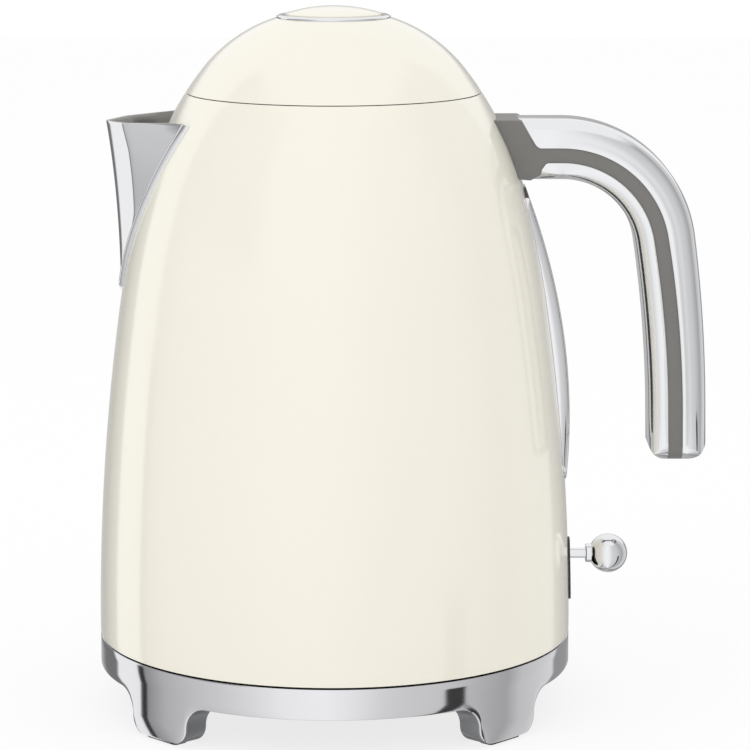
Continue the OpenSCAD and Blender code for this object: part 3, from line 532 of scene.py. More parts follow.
# ---------------------------------------------------------------- repeated shapes and wires
def scatter(name: str, shape: bpy.types.Object, places: list[Matrix], finish: Finish) -> bpy.types.Object:
    """Repeats one shape with a Geometry Nodes tree and returns the set as a plain mesh.

    Args:
        name: the set's name.
        shape: the shape to repeat; it is deleted afterwards.
        places: where each copy goes.
        finish: the finish that the tree sets.

    Returns:
        One mesh that holds every copy.
    """
    carrier = bpy.data.meshes.new(name + "_places")
    carrier.from_pydata([tuple(m.translation) for m in places], [], [])
    turns = carrier.attributes.new("turn", "FLOAT_VECTOR", "POINT")
    for item, m in zip(turns.data, places):
        item.vector = m.to_euler()
    obj = link(name, carrier)
    tree = bpy.data.node_groups.new(name + "_tree", "GeometryNodeTree")
    tree.interface.new_socket("Places", in_out="INPUT", socket_type="NodeSocketGeometry")
    size = tree.interface.new_socket("Size", in_out="INPUT", socket_type="NodeSocketFloat")
    tree.interface.new_socket("Set", in_out="OUTPUT", socket_type="NodeSocketGeometry")
    graph = Graph(tree)
    given = graph.make("NodeGroupInput", {})
    source = graph.node("GeometryNodeObjectInfo", {}, Object=shape, out="Geometry")
    turn = graph.node("GeometryNodeInputNamedAttribute", {"data_type": "FLOAT_VECTOR"}, Name="turn")
    spin = graph.node("FunctionNodeEulerToRotation", {}, turn)
    copies = graph.node(
        "GeometryNodeInstanceOnPoints", {},
        Points=given.outputs[0], Instance=source, Rotation=spin, Scale=given.outputs[1],
    )
    whole = graph.node("GeometryNodeRealizeInstances", {}, copies)
    dressed = graph.node("GeometryNodeSetMaterial", {}, Geometry=whole, Material=finish.material())
    graph.feed(graph.make("NodeGroupOutput", {}).inputs[0], dressed)
    step = obj.modifiers.new("repeat", "NODES")
    step.node_group = tree
    step[size.identifier] = 1.0
    settle(obj)
    bpy.data.objects.remove(shape)
    return shade(obj)


def wires(
    name: str, points: list[Point], edges: list[tuple[int, int]], radius: float, finish: Finish, sides: int = 6
) -> bpy.types.Object:
    """Makes round wire along edges with a Geometry Nodes tree.

    Args:
        name: the piece's name.
        points: where the wire runs.
        edges: which points it joins.
        radius: the wire's radius.
        finish: the finish that the tree sets.
        sides: how many sides the wire has.

    Returns:
        The wire as a plain mesh.
    """
    mesh = bpy.data.meshes.new(name)
    mesh.from_pydata(points, edges, [])
    obj = link(name, mesh)
    tree = bpy.data.node_groups.new(name + "_tree", "GeometryNodeTree")
    tree.interface.new_socket("Lines", in_out="INPUT", socket_type="NodeSocketGeometry")
    thick = tree.interface.new_socket("Wire radius", in_out="INPUT", socket_type="NodeSocketFloat")
    around = tree.interface.new_socket("Sides", in_out="INPUT", socket_type="NodeSocketInt")
    tree.interface.new_socket("Wire", in_out="OUTPUT", socket_type="NodeSocketGeometry")
    graph = Graph(tree)
    lines, r, n = graph.make("NodeGroupInput", {}).outputs[:3]
    curve = graph.node("GeometryNodeMeshToCurve", {}, lines)
    section = graph.node("GeometryNodeCurvePrimitiveCircle", {}, Resolution=n, Radius=r)
    tube = graph.node("GeometryNodeCurveToMesh", {}, Curve=curve, Profile_Curve=section, Fill_Caps=True)
    whole = graph.node("GeometryNodeRealizeInstances", {}, tube)
    dressed = graph.node("GeometryNodeSetMaterial", {}, Geometry=whole, Material=finish.material())
    graph.feed(graph.make("NodeGroupOutput", {}).inputs[0], dressed)
    step = obj.modifiers.new("wire", "NODES")
    step.node_group = tree
    step[thick.identifier], step[around.identifier] = radius, sides
    return shade(settle(obj), 60)


@dataclass(frozen=True)
class Screws:
    """Pan-head screws with a cross recess, along +Z with the head's underside at the origin."""

    head_r: float
    head_t: float
    shank_r: float
    shank_l: float

    def _one(self) -> bpy.types.Object:
        """One screw, head downwards from its seat."""
        r, t = self.head_r, self.head_t
        turns = [math.radians(a) for a in range(6, 91, 12)]
        dome = [(r * math.sin(a), -t * (0.45 + 0.55 * math.cos(a))) for a in turns]
        shank = [(self.shank_r, 0), (self.shank_r, self.shank_l), (AXIS, self.shank_l)]
        screw = lathe("screw_shape", [(AXIS, -t), *dome, (r, 0), *shank], 32)
        arms = []
        for k in range(2):
            arm = prism("arm", slab(0.35 * r, -0.9 * MM, 0.9 * MM, 0.1 * MM, 2), "x", -0.55 * r, 0.55 * r)
            arm.data.transform(Matrix.Translation((0, 0, -t)) @ Matrix.Rotation(k * math.pi / 2, 4, "Z"))
            arms.append(arm)
        return cut(screw, *arms)

    def set_of(self, name: str, places: list[Matrix]) -> bpy.types.Object:
        """A set of screws, one for each place."""
        return scatter(name, self._one(), places, STEEL)


# ---------------------------------------------------------------- report
@dataclass
class Report:
    """Puts pieces on their bodies and reports each one."""

    made: list[str] = field(default_factory=list)

    def add(self, obj: bpy.types.Object, finish: Finish, body: str, *nodes: str) -> bpy.types.Object:
        """Dresses a new piece, hides the nodes it stands for and sets it riding.

        Args:
            obj: the finished mesh.
            finish: its finish.
            body: the body that it moves with.
            nodes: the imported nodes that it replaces.

        Returns:
            The piece.
        """
        if not obj.data.materials:
            obj.data.materials.append(finish.material())
        if nodes:
            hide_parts(*nodes)
        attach(obj, body)
        self.made.append(obj.name)
        LOG.info("%s rides on %s in %s, %d faces", obj.name, body, finish.name, len(obj.data.polygons))
        return obj

    def dress(self, node: str, finish: Finish) -> None:
        """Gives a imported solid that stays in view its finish."""
        obj = bpy.data.objects[node]
        obj.data.materials.clear()
        obj.data.materials.append(finish.material())
        self.made.append(node)
        LOG.info("%s keeps its solid, in %s", node, finish.name)


# ---------------------------------------------------------------- the kettle's own outline
@dataclass(frozen=True)
class BodyLine:
    """The outline from the lower edge to the crown: four arcs, each tangent to the next."""

    start_r: float = 0.085
    start_z: float = 0.0268
    arcs: tuple[Flat, ...] = ((0.839, 8.58), (0.264, 8.94), (0.120, 20.14), (0.054, 50.0))

    def spans(self) -> list[tuple[float, float, float, float, float]]:
        """Each arc as centre radius, centre height, radius, first heading and last heading."""
        out, r, z, heading = [], self.start_r, self.start_z, 0.0
        for radius, sweep in self.arcs:
            a, b = math.radians(heading), math.radians(heading + sweep)
            out.append((r - radius * math.cos(a), z - radius * math.sin(a), radius, a, b))
            r -= radius * (math.cos(a) - math.cos(b))
            z += radius * (math.sin(b) - math.sin(a))
            heading += sweep
        return out

    def radius(self, z: float, depth: float = 0.0) -> float:
        """Radius at a height of the surface that lies in by depth."""
        for cr, cz, big, _, last in self.spans():
            if z < cz + (big - depth) * math.sin(last):
                break
        return cr + math.sqrt((big - depth) ** 2 - (z - cz) ** 2)

    def tilt(self, z: float) -> float:
        """How steeply the side faces upwards at a height, in radians."""
        for _, cz, big, _, last in self.spans():
            if z < cz + big * math.sin(last):
                break
        return math.asin((z - cz) / big)

    def top(self, r: float) -> float:
        """Height of the dome at a distance from the axis."""
        cr, cz, big, _, _ = self.spans()[-1]
        return cz + math.sqrt(big**2 - (r - cr) ** 2)

    def run(self, low: float, high: float, depth: float = 0.0, step: float = 0.0016) -> list[Flat]:
        """Points (radius, height) up the surface that lies in by depth.

        Args:
            low: first height.
            high: last height.
            depth: how far in the surface lies.
            step: distance between points.

        Returns:
            The points, from low to high.
        """
        out: list[Flat] = []
        for cr, cz, big, first, last in self.spans():
            r = big - depth
            a = max(first, math.asin(max(-1.0, (low - cz) / r))) if low > cz - r else first
            b = min(last, math.asin(min(1.0, (high - cz) / r)))
            if b <= a:
                continue
            steps = max(2, round((b - a) * r / step))
            headings = (a + (b - a) * k / steps for k in range(steps + 1))
            out += [(cr + r * math.cos(h), cz + r * math.sin(h)) for h in headings]
        return [p for i, p in enumerate(out) if i == 0 or math.dist(p, out[i - 1]) > 1e-6]

    def wrap(self, y: float, z: float, lift: float = 0.0, side: int = 1) -> Point:
        """A point on the body at (y, z), lifted off it, on the handle side (1) or the spout side (-1)."""
        r = self.radius(z) + lift
        return side * math.sqrt(max(1e-9, r * r - y * y)), y, z


LINE = BodyLine()
SEAM_Z = 221.6 * MM
SEAM_GAP = 0.12 * MM
SKIN = 0.8 * MM
LIP = 0.25 * MM
LIP_DROP = LIP * 0.3
TOUCH = 0.05 * MM
HANDLE_SIDE = (50 * MM, 100 * MM)
SPOUT_SIDE = (-100 * MM, -30 * MM)


def core_of(name: str, low: float, high: float, lift: float = TOUCH) -> bpy.types.Object:
    """The body as a full solid between two heights, grown by a lift, to cut pieces that lie on it."""
    return lathe(name, [(10 * AXIS, low), *LINE.run(low, high, -lift), (10 * AXIS, high)], 320)


# ---------------------------------------------------------------- power base
@dataclass
class PowerBase:
    """The footed ring, its plates, the round socket and the connector over it."""

    report: Report
    radius: float = 85 * MM
    wall: float = 3 * MM
    edge_z: float = 15.2 * MM
    top_z: float = 26.3 * MM
    ledge_t: float = 1.2 * MM
    foot_w: float = 29 * MM
    foot_t: float = 9 * MM
    foot_angle: float = 43.5
    toe: float = 6 * MM
    cove: float = 8 * MM
    pad_t: float = 1 * MM
    edge_r: float = 0.7 * MM
    edge_share: float = 0.3
    pad_inset: float = 1.5 * MM
    pad_corner: float = 1.6 * MM
    pad_side: float = 6.5 * MM
    screw_r: float = 70 * MM
    screw_z: float = 15.5 * MM

    def _foot_edge(self, inset: float) -> list[Flat]:
        """The lower edge from a foot's middle out to the plain ring, as (across, height).

        Args:
            inset: how far the edge is drawn in, for the rounded border.

        Returns:
            Points from the middle of the foot outwards.
        """
        half, floor = self.foot_w / 2, self.pad_t + inset
        toe, cove = self.toe - inset, self.cove + inset
        turn = (half - self.toe, self.pad_t + self.toe)
        centre = (half + self.cove, self.edge_z - self.cove)
        flat = [(turn[0] * k / 6, floor) for k in range(6)]
        up = arc(turn, toe, -90, 0, 10)
        over = arc(centre, cove, 180, 90, 14)
        return flat + up + over

    def _feet(self) -> list[float]:
        """The angles of the four feet."""
        return [self.foot_angle, 180 - self.foot_angle, 180 + self.foot_angle, 360 - self.foot_angle]

    def _columns(self, inset: float, at: float) -> list[Flat]:
        """The lower edge all the way round as (angle, height) on a radius.

        Args:
            inset: how far the edge is drawn in.
            at: the radius that the edge lies on.

        Returns:
            As many points for any inset and radius.
        """
        feet = self._feet()
        edge = [(math.degrees(math.asin(y / at)), z) for y, z in self._foot_edge(inset)]
        out: list[Flat] = []
        for middle, following in zip(feet, [*feet[1:], feet[0] + 360]):
            out += [(middle - a, z) for a, z in reversed(edge)] + [(middle + a, z) for a, z in edge[1:]]
            start, span = out[-1][0], following - middle - 2 * edge[-1][0]
            out += [(start + span * k / 36, self.edge_z + inset) for k in range(1, 36)]
        return out

    def _ring(self) -> bpy.types.Object:
        """The ring as columns whose foot follows the scalloped lower edge."""
        r, e = self.radius, self.edge_r
        turn, foot_in, wall_in = e * self.edge_share, r - self.foot_t, r - self.wall
        lines = [self._columns(*given) for given in ((0, foot_in), (0, r - e), (turn, r - turn), (e, r))]
        top, ledge = self.top_z, self.edge_z + self.ledge_t
        rows = []
        for inner, low, bend, wall in zip(*lines):
            column = [(inner[0], foot_in, inner[1]), (low[0], r - e, low[1]), (bend[0], r - turn, bend[1])]
            column += [(wall[0], r, wall[1] + (top - e - wall[1]) * k / 4) for k in range(5)]
            column += [(wall[0], r - turn, top - turn), (wall[0], r - e, top), (wall[0], wall_in, top)]
            column += [(wall[0], wall_in, ledge), (inner[0], foot_in, ledge)]
            turned = [(math.radians(a), q, z) for a, q, z in column]
            rows.append([(q * math.cos(a), q * math.sin(a), z) for a, q, z in turned])
        return loft("ring_skin", rows, ring=True)

    def _pads(self) -> bpy.types.Object:
        """Four rubber pads, one shape laid out round the base by a node tree."""
        half = self.foot_w / 2 - self.pad_side
        low, high = self.radius - self.foot_t + self.pad_inset, self.radius - self.pad_inset
        rows = []
        for z, inset in ((0.0, 0.3 * MM), (0.3 * MM, 0.0), (self.pad_t, 0.0)):
            outline = slab(2 * (half - inset), low + inset, high - inset, self.pad_corner - inset, 5)
            rows.append([(math.sqrt(max(0.0, v * v - u * u)), u, z) for u, v in outline])
        turns = [Matrix.Rotation(math.radians(a), 4, "Z") for a in self._feet()]
        return scatter("foot_pad_set", loft("pad_shape", rows), turns, RUBBER)

    def _inner_side(self, at: Vector, out: Vector) -> bool:
        """Whether a face of the ring is the inner side or end of a foot, which gets painted shade."""
        return at.z < self.edge_z and out.length > 0.3 and out.dot(at.xy.normalized()) < 0.75

    def make(self) -> None:
        """Builds and dresses the base."""
        ring = shade(self._ring(), 40)
        # Painted shade: the feet's inner sides and ends are darkened to stand for the shadowed floor and feet they
        # would mirror.
        mark_painted_shade(ring, self._inner_side)
        self.report.add(ring, RING_METAL, "base", "base_ring")
        self.report.add(self._pads(), RUBBER, "base", "foot_pads")
        seat = Matrix.Translation((self.screw_r, 0, self.screw_z))
        places = [Matrix.Rotation(math.radians(a), 4, "Z") @ seat for a in range(20, 380, 90)]
        screws = Screws(head_r=2.8 * MM, head_t=1.6 * MM, shank_r=1.5 * MM, shank_l=5.4 * MM)
        self.report.add(screws.set_of("base_screw_set", places), STEEL, "base", "base_screws")
        for node, finish in (
            ("base_top_plate", BLACK), ("base_bottom_plate", BLACK), ("cord_gland", RUBBER), ("base_socket", BLACK),
            ("socket_contacts", BRASS), ("kettle_connector", BLACK), ("connector_pins", BRASS),
        ):
            self.report.dress(node, finish)


# ---------------------------------------------------------------- body and inside
@dataclass
class KettleBody:
    """The enamelled wall with its lined inside, and the pieces that stay in view as packed."""

    report: Report
    low_z: float = 26.8 * MM
    lens: tuple[float, float, float] = (12 * MM, 92.2 * MM, 178.2 * MM)
    slot: tuple[float, float, float] = (8 * MM, 38.4 * MM, 58.4 * MM)
    mouth: tuple[Flat, ...] = ((6.75 * MM, 177.4 * MM), (15 * MM, 199.4 * MM), (15 * MM, 207.4 * MM))

    def _wall(self) -> bpy.types.Object:
        """The wall as one turned skin, enamelled outside and bare inside."""
        high = SEAM_Z - SEAM_GAP
        outer, inner = LINE.run(self.low_z, high), LINE.run(self.low_z, high, SKIN)
        top = outer.pop()[0]
        outer[0] = (outer[0][0] - LIP_DROP, self.low_z + LIP_DROP)
        rim = [(top - LIP_DROP, high - LIP_DROP), (top - LIP, high)]
        wall = lathe("enamel_wall", [(outer[0][0] - LIP, self.low_z), *outer, *rim, *reversed(inner)], 320)
        for finish in (ENAMEL, STEEL):
            wall.data.materials.append(finish.material())
        for face in wall.data.polygons:
            x, y, z = face.center
            face.material_index = int(math.hypot(x, y) < LINE.radius(z) - SKIN / 2)
        return wall

    def make(self) -> None:
        """Builds the wall and dresses what it carries."""
        window = prism("window_cut", slab(*self.lens, 4 * MM), "x", *HANDLE_SIDE)
        slot = prism("slot_cut", slab(*self.slot, 3.9 * MM), "x", *HANDLE_SIDE)
        left = [(-y, z) for y, z in self.mouth]
        mouth = prism("mouth_cut", [left[0], *self.mouth, *reversed(left[1:])], "x", *SPOUT_SIDE)
        wall = shade(cut(self._wall(), window, slot, mouth), 30)
        self.report.add(wall, ENAMEL, "kettle", "outer_shell")
        for node, finish in (
            ("bottom_cover", UNDER), ("heating_plate", STEEL), ("heating_element", STEEL), ("control_unit", BLACK),
            ("lever_pin", STEEL), ("steam_tube", STEEL), ("window_gasket", SILICONE), ("filter_frame", STEEL),
            ("neck_ring", PALE), ("hinge_bracket", STEEL), ("hinge_pin", STEEL), ("lever_rocker", BLACK),
        ):
            self.report.dress(node, finish)


@dataclass
class Window:
    """The water window: bowed chrome trim round a clear strip."""

    report: Report
    low: float = 82.2 * MM
    length: float = 106 * MM
    width: float = 24 * MM
    rise: float = 4 * MM
    corner: float = 3 * MM
    end_r: float = 9 * MM
    past: float = 3 * MM
    hole: tuple[float, float, float] = (12.1 * MM, 92.15 * MM, 178.25 * MM)

    def _bow(self, z: float) -> float:
        """Distance of the trim's outer face from the axis at a height."""
        middle, half = self.low + self.length / 2 + self.past, self.length / 2 + self.past
        x0, x1 = LINE.radius(middle - half), LINE.radius(middle + half)
        share = (z - middle) / half
        chord = x0 + (x1 - x0) * (share + 1) / 2
        sag = LINE.radius(middle) + self.rise - (x0 + x1) / 2
        return chord + sag * (1 - share * share)

    def _trim(self) -> bpy.types.Object:
        """The trim as rows up its length, each a loop over its face and back along the body."""
        rows = []
        ends = arc((0, self.end_r), self.end_r, -89, 0, 16)
        heights = [(z, self.width / 2 - self.end_r + x) for x, z in ends]
        middle = [(self.end_r + (self.length - 2 * self.end_r) * k / 48, self.width / 2) for k in range(1, 48)]
        heights = heights + middle + [(self.length - z, w) for z, w in reversed(heights)]
        for dz, w in heights:
            z = self.low + dz
            face, back = self._bow(z), LINE.radius(z)
            front: list[Point] = []
            for k in range(33):
                y = -w + 2 * w * k / 32
                over = max(0.0, abs(y) - (self.width / 2 - self.corner))
                x = face - (self.corner - math.sqrt(max(0.0, self.corner**2 - over**2)))
                skin = math.sqrt(back * back - y * y)
                front.append((max(x, skin + 0.15 * MM), y, z))
            rear = [(math.sqrt(back * back - p[1] ** 2) + TOUCH, p[1], z) for p in reversed(front)]
            rows.append(front + rear)
        return loft("window_frame", rows)

    def make(self) -> None:
        """Builds the trim and the strip."""
        hole = prism("lens_cut", slab(*self.hole, 4 * MM), "x", *HANDLE_SIDE)
        trim = soften(cut(self._trim(), hole), 0.35 * MM, 2, 50)
        self.report.add(shade(trim, 45), CHROME, "kettle", "window_trim")
        strip = merged_copy("window_lens", "clear_strip_piece", 0.4 * MM)
        self.report.add(shade(strip), LENS, "kettle", "window_lens")


@dataclass
class Spout:
    """The chrome beak, its raised border and the filter behind the pouring hole."""

    report: Report
    out: float = 22.5 * MM
    tip_z: float = 211.4 * MM
    foot_z: float = 150.5 * MM
    half_w: float = 29.6 * MM
    wall: float = 1.2 * MM
    bead: float = 3.4 * MM
    rise: float = 1.7 * MM
    rim_slope: float = 0.055
    nose_slope: float = 0.577
    nose_r: float = 2.2 * MM
    crease_r: float = 0.5 * MM
    creases: tuple[Flat, ...] = (
        (1.0, 13.6 * MM), (0.86, 15.4 * MM), (0.7, 15.2 * MM), (0.49, 14.4 * MM), (0.0, 0.0),
    )
    cut_low: float = 140 * MM
    cut_high: float = 220 * MM
    seat_top: float = 213.4 * MM
    hole_low: float = 177.4 * MM
    hole_half: float = 6.6 * MM
    hole_grow: float = 7.6 * MM
    hole_rise: float = 22 * MM
    weave_low: float = 178.2 * MM
    weave_high: float = 206.6 * MM
    weave_step: float = 1.15 * MM

    def _share(self, z: float) -> float:
        """Height as a share of the spout, 0 at its foot and 1 at its tip."""
        return (z - self.foot_z) / (self.tip_z - self.foot_z)

    def _half(self, z: float) -> float:
        """Half width of the border's outer edge."""
        return self.half_w * (1 - (1 - min(1.0, max(0.0, self._share(z)))) ** 1.55)

    def _keel(self, z: float) -> float:
        """Distance of the keel from the axis."""
        t, start = max(0.0, self._share(z)), LINE.radius(self.foot_z) + 0.4 * MM
        return start + (LINE.radius(self.tip_z) + self.out - start) * (0.18 * t + 0.82 * t**2.4)

    def _crease(self, z: float) -> float:
        """How far across the crease lies at a height."""
        share = min(1.0, max(0.0, self._share(z)))
        for (high, a), (low, b) in zip(self.creases, self.creases[1:]):
            if share >= low:
                return b + (a - b) * (share - low) / (high - low)
        return 0.0

    def _past(self, y: float, crease: float) -> tuple[float, float]:
        """A soft ramp that rises from the crease, and its slope."""
        v = y - crease
        rise = (v + math.hypot(v, self.crease_r) + crease - math.hypot(crease, self.crease_r)) / 2
        return rise, (1 + v / math.hypot(v, self.crease_r)) / 2

    def _level(self, z: float, wall: float, side: int = 46) -> list[Point]:
        """A level of the beak: two nose faces, a crease, two side faces, then across inside the body.

        Args:
            z: the level's height.
            wall: how far the level is drawn in.
            side: steps from the keel to either side.

        Returns:
            A closed loop of points.
        """
        half = max(0.8 * MM, self._half(z) - self.bead - TOUCH)
        keel = self._keel(z)
        depth = keel - math.sqrt(LINE.radius(z) ** 2 - half**2)
        crease = min(self._crease(z), 0.94 * half)
        past, nose = self._past(half, crease)[0], math.hypot(half, self.nose_r) - self.nose_r
        slope = min(self.nose_slope, depth / nose)
        steep = (depth - slope * (nose - past)) / past
        right: list[Flat] = []
        for i in range(side + 1):
            y = half * i / side
            over, turn = self._past(y, crease)
            soft = math.hypot(y, self.nose_r)
            lean = (slope * (y / soft - turn) + steep * turn) if i else 0.0
            back = slope * (soft - self.nose_r - over) + steep * over
            long = math.hypot(1, lean)
            right.append((back - keel + wall / long, y - wall * lean / long))
        x, y = right[-1]
        left = [(a, -b) for a, b in reversed(right[1:])]
        return [(a, b, z) for a, b in (*left, *right, (x + 12 * MM, y), (x + 12 * MM, -y))]

    def _solid(self, name: str, wall: float, low: float, high: float, steps: int = 44) -> bpy.types.Object:
        """The beak's solid between two heights."""
        return loft(name, [self._level(low + (high - low) * k / steps, wall) for k in range(steps + 1)])

    def _beak(self) -> bpy.types.Object:
        """The beak's sheet, hollow, cut to the body and to its sloping rim."""
        outer = self._solid("beak_sheet", 0, self.foot_z + 3 * MM, self.tip_z + 8 * MM)
        inner = self._solid("beak_hollow", self.wall, self.foot_z + 12 * MM, self.tip_z + 12 * MM)
        body = core_of("body_cut", self.cut_low, self.cut_high)
        seat = core_of("seat_cut", self.cut_low, self.cut_high, self.rise + TOUCH)
        way = prism("way", self._outline(self.bead + TOUCH), "x", *SPOUT_SIDE)
        far, top = 100 * MM, 250 * MM
        block = [(-far, self.seat_top), (far, self.seat_top), (far, top), (-far, top)]
        above = prism("above", block, "x", -120 * MM, far)
        cut(seat, way, above)
        reach, over = LINE.radius(self.tip_z) + self.out, self.tip_z + 48 * MM
        low, high = self.tip_z - (far - reach) * self.rim_slope, self.tip_z + reach * self.rim_slope
        rim = prism("rim_cut", [(-far, low), (0.0, high), (0.0, over), (-far, over)], "y", -60 * MM, 60 * MM)
        return soften(cut(outer, inner, body, seat, rim), 0.3 * MM, 2, 55)

    def _outline(self, inset: float, steps: int = 40) -> list[Flat]:
        """The border's outline, drawn in by an inset, as (across, height)."""
        low, top = self.foot_z + inset * 2.2, self.tip_z + 1.2 * MM
        heights = [low + (top - low) * (k / steps) ** 1.3 for k in range(steps + 1)]
        right = [(max(0.3 * MM, self._half(z) - inset), z) for z in heights]
        return [*right, *((-y, z) for y, z in reversed(right))]

    def _border(self) -> bpy.types.Object:
        """The raised border as a rounded bead laid on the body."""
        outer, inner = self._outline(0.0), self._outline(self.bead)
        rows = []
        for (yo, zo), (yi, zi) in zip(outer, inner):
            over = []
            for k in range(11):
                s = k / 10
                y, z = yo + (yi - yo) * s, zo + (zi - zo) * s
                lift = self.rise * (1 - (2 * s - 1) ** 2) ** 0.5
                over.append(LINE.wrap(y, z, max(0.12 * MM, lift), -1))
            back = [LINE.wrap(yo + (yi - yo) * s, zo + (zi - zo) * s, TOUCH, -1) for s in (1.0, 0.5, 0.0)]
            rows.append(over + back)
        half = len(rows) // 2
        return loft("spout_border", rows[half:] + rows[:half])

    def _mesh(self) -> bpy.types.Object:
        """The filter's woven wires, bent to the wall by a node tree."""
        low, high, step = self.weave_low, self.weave_high, self.weave_step
        lines: list[tuple[Flat, Flat]] = []
        for k in range(math.ceil((high - low) / step)):
            z = low + k * step
            half = min(14.2 * MM, self.hole_half + (z - self.hole_low) / self.hole_rise * self.hole_grow)
            lines.append(((-half, z), (half, z)))
        for k in range(25):
            y = -14 * MM + k * step
            past = max(0.0, abs(y) - self.hole_half) / self.hole_grow
            lines.append(((y, max(low, self.hole_low + past * self.hole_rise)), (y, high)))
        points: list[Point] = []
        edges: list[tuple[int, int]] = []
        for k, ((y0, z0), (y1, z1)) in enumerate(lines):
            first = len(points)
            depth = (1.9 if k % 2 else 1.7) * MM
            for i in range(9):
                points.append(LINE.wrap(y0 + (y1 - y0) * i / 8, z0 + (z1 - z0) * i / 8, -depth, -1))
            edges += [(first + i, first + i + 1) for i in range(8)]
        return wires("filter_weave", points, edges, 0.16 * MM, STEEL)

    def make(self) -> None:
        """Builds the spout."""
        beak = shade(self._beak(), 38)
        # Painted shade: the beak's faces that turn inwards are darkened to stand for the shade inside the spout.
        mark_painted_shade(beak, lambda at, out: out.dot(Vector((at.x + 0.06, at.y))) < 0)
        self.report.add(beak, BEAK_CHROME, "kettle", "spout")
        self.report.add(shade(self._border(), 50), CHROME, "kettle", "spout_trim")
        self.report.add(self._mesh(), STEEL, "kettle", "filter_mesh")


# ---------------------------------------------------------------- handle
@dataclass(frozen=True)
class Edge:
    """An edge of the handle seen from the side: a bend, a long curve, then straight down."""

    bend: float
    sweep: float
    long: float
    drift: float


@dataclass
class Handle:
    """The grey mount and core with the two bright shells over it."""

    report: Report
    top: float = 212.6 * MM
    bend_out: float = 23 * MM
    bend: float = 48 * MM
    end_z: float = 90 * MM
    width: float = 26 * MM
    tilt: float = 89.0
    crown: float = 0.22 * MM
    end_r: float = 8.2 * MM
    end_cut: float = 98.5 * MM
    core_lap: float = 0.4 * MM
    mount_back: float = 9.8 * MM
    mount_out: float = 8.5 * MM

    def __post_init__(self) -> None:
        """Names the four edges, from the back of the handle to its finger side."""
        self.out = Edge(48 * MM, 82, 500 * MM, 7)
        self.back = Edge(38.2 * MM, 80, 400 * MM, 9)
        self.front = Edge(33.1 * MM, 80, 394.9 * MM, 9)
        self.inside = Edge(26.7 * MM, 81, 450 * MM, 8)
        self.bend_z = self.top - self.bend
        self.bend_x = LINE.radius(self.top) + self.bend_out
        self.mount_x = LINE.radius(self.top - self.mount_back) + self.mount_out

    def _stops(self, e: Edge, start: float, bends: int = 56, curves: int = 14) -> list[Flat]:
        """Points along an edge from the body to below the handle's end."""
        rad = math.radians
        out = [(start, self.bend_z + e.bend)]
        for k in range(bends + 1):
            a = rad(e.sweep * k / bends)
            out.append((self.bend_x + e.bend * math.sin(a), self.bend_z + e.bend * math.cos(a)))
        cx, cz = out[-1][0] - e.long * math.sin(rad(e.sweep)), out[-1][1] - e.long * math.cos(rad(e.sweep))
        for k in range(1, curves + 1):
            a = rad(e.sweep + e.drift * k / curves)
            out.append((cx + e.long * math.sin(a), cz + e.long * math.cos(a)))
        x, z = out[-1]
        run = z - self.end_z + 5 * MM
        out.append((x + run * math.cos(rad(self.tilt)), z - run * math.sin(rad(self.tilt))))
        return out

    def _strip(self, name: str, base: Edge, crown: Edge, start: float, radius: float) -> bpy.types.Object:
        """A strip with a flat side on one edge and round corners on the other.

        Args:
            name: the piece's name.
            base: the flat side's edge.
            crown: the rounded side's edge.
            start: where the strip begins, from the axis.
            radius: radius of its round corners.

        Returns:
            The strip, longer than the handle at its end.
        """
        half = self.width / 2
        rows = []
        for (ax, az), (bx, bz) in zip(self._stops(base, start), self._stops(crown, start)):
            t = math.hypot(bx - ax, bz - az)
            ux, uz = (bx - ax) / t, (bz - az) / t
            turn = [math.pi / 2 * k / 12 for k in range(13)]
            side = [(self.crown * (1 - (2 * k / 8 - 1) ** 2), (t - radius) * k / 8) for k in range(8)]
            section = [(-half - bulge, v) for bulge, v in side]
            section += [(-half + radius * (1 - math.cos(a)), t - radius * (1 - math.sin(a))) for a in turn]
            section += [(-y, v) for y, v in reversed(section)]
            rows.append([(ax + ux * v, y, az + uz * v) for y, v in section])
        return loft(name, rows)

    def _mount(self) -> list[Flat]:
        """The mount's outline from the side."""
        top, back, front, low = (self.top - d for d in (0.0, self.mount_back, 14.9 * MM, 21.2 * MM))
        bend, top_x = self.mount_x, LINE.radius(top) + 9 * MM
        upper = [
            (LINE.radius(top) - 8 * MM, top), (top_x - 1.5 * MM, top),
            (top_x - 0.4 * MM, top - 0.35 * MM), (top_x, top - 1 * MM),
        ]
        step = [
            (bend, back + 1.6 * MM), (bend + 0.8 * MM, back + 0.6 * MM),
            (bend + 2.5 * MM, back - 0.3 * MM), (bend + 5.6 * MM, front + 0.5 * MM),
        ]
        chin = [
            (bend + 3.8 * MM, front - 0.6 * MM), (bend + 2.6 * MM, front - 2.4 * MM),
            (bend + 2.2 * MM, top - 19.2 * MM), (bend - 1.5 * MM, low),
            (LINE.radius(low) - 8 * MM, low + 1 * MM),
        ]
        return [*upper, *step, *chin]

    def _end(self) -> bpy.types.Object:
        """What is cut away below the rounded lower end."""
        x_in, x_out = (self._stops(e, 0)[-2][0] for e in (self.inside, self.out))
        middle, span = (x_in + x_out) / 2, x_out - x_in + 0.7 * MM
        near, far, reach = 80 * MM, 160 * MM, 50 * MM
        block = [(near, 0.0), (far, 0.0), (far, self.end_cut), (near, self.end_cut)]
        low = prism("below", block, "y", -reach, reach)
        top = self.end_z + 24 * MM
        side = [(middle + u, v) for u, v in slab(span, self.end_z, top, self.end_r, 14)]
        front = slab(self.width + 0.5 * MM, self.end_z, top, self.end_r, 14)
        keep = prism("keep", side, "y", -60 * MM, 60 * MM)
        cut(keep, prism("keep_front", front, "x", near - 10 * MM, far + 10 * MM), operation="INTERSECT")
        return cut(low, keep)

    def _mount_block(self, name: str, half: float) -> bpy.types.Object:
        """The mount's outline pushed across the handle."""
        return prism(name, self._mount(), "y", -half, half)

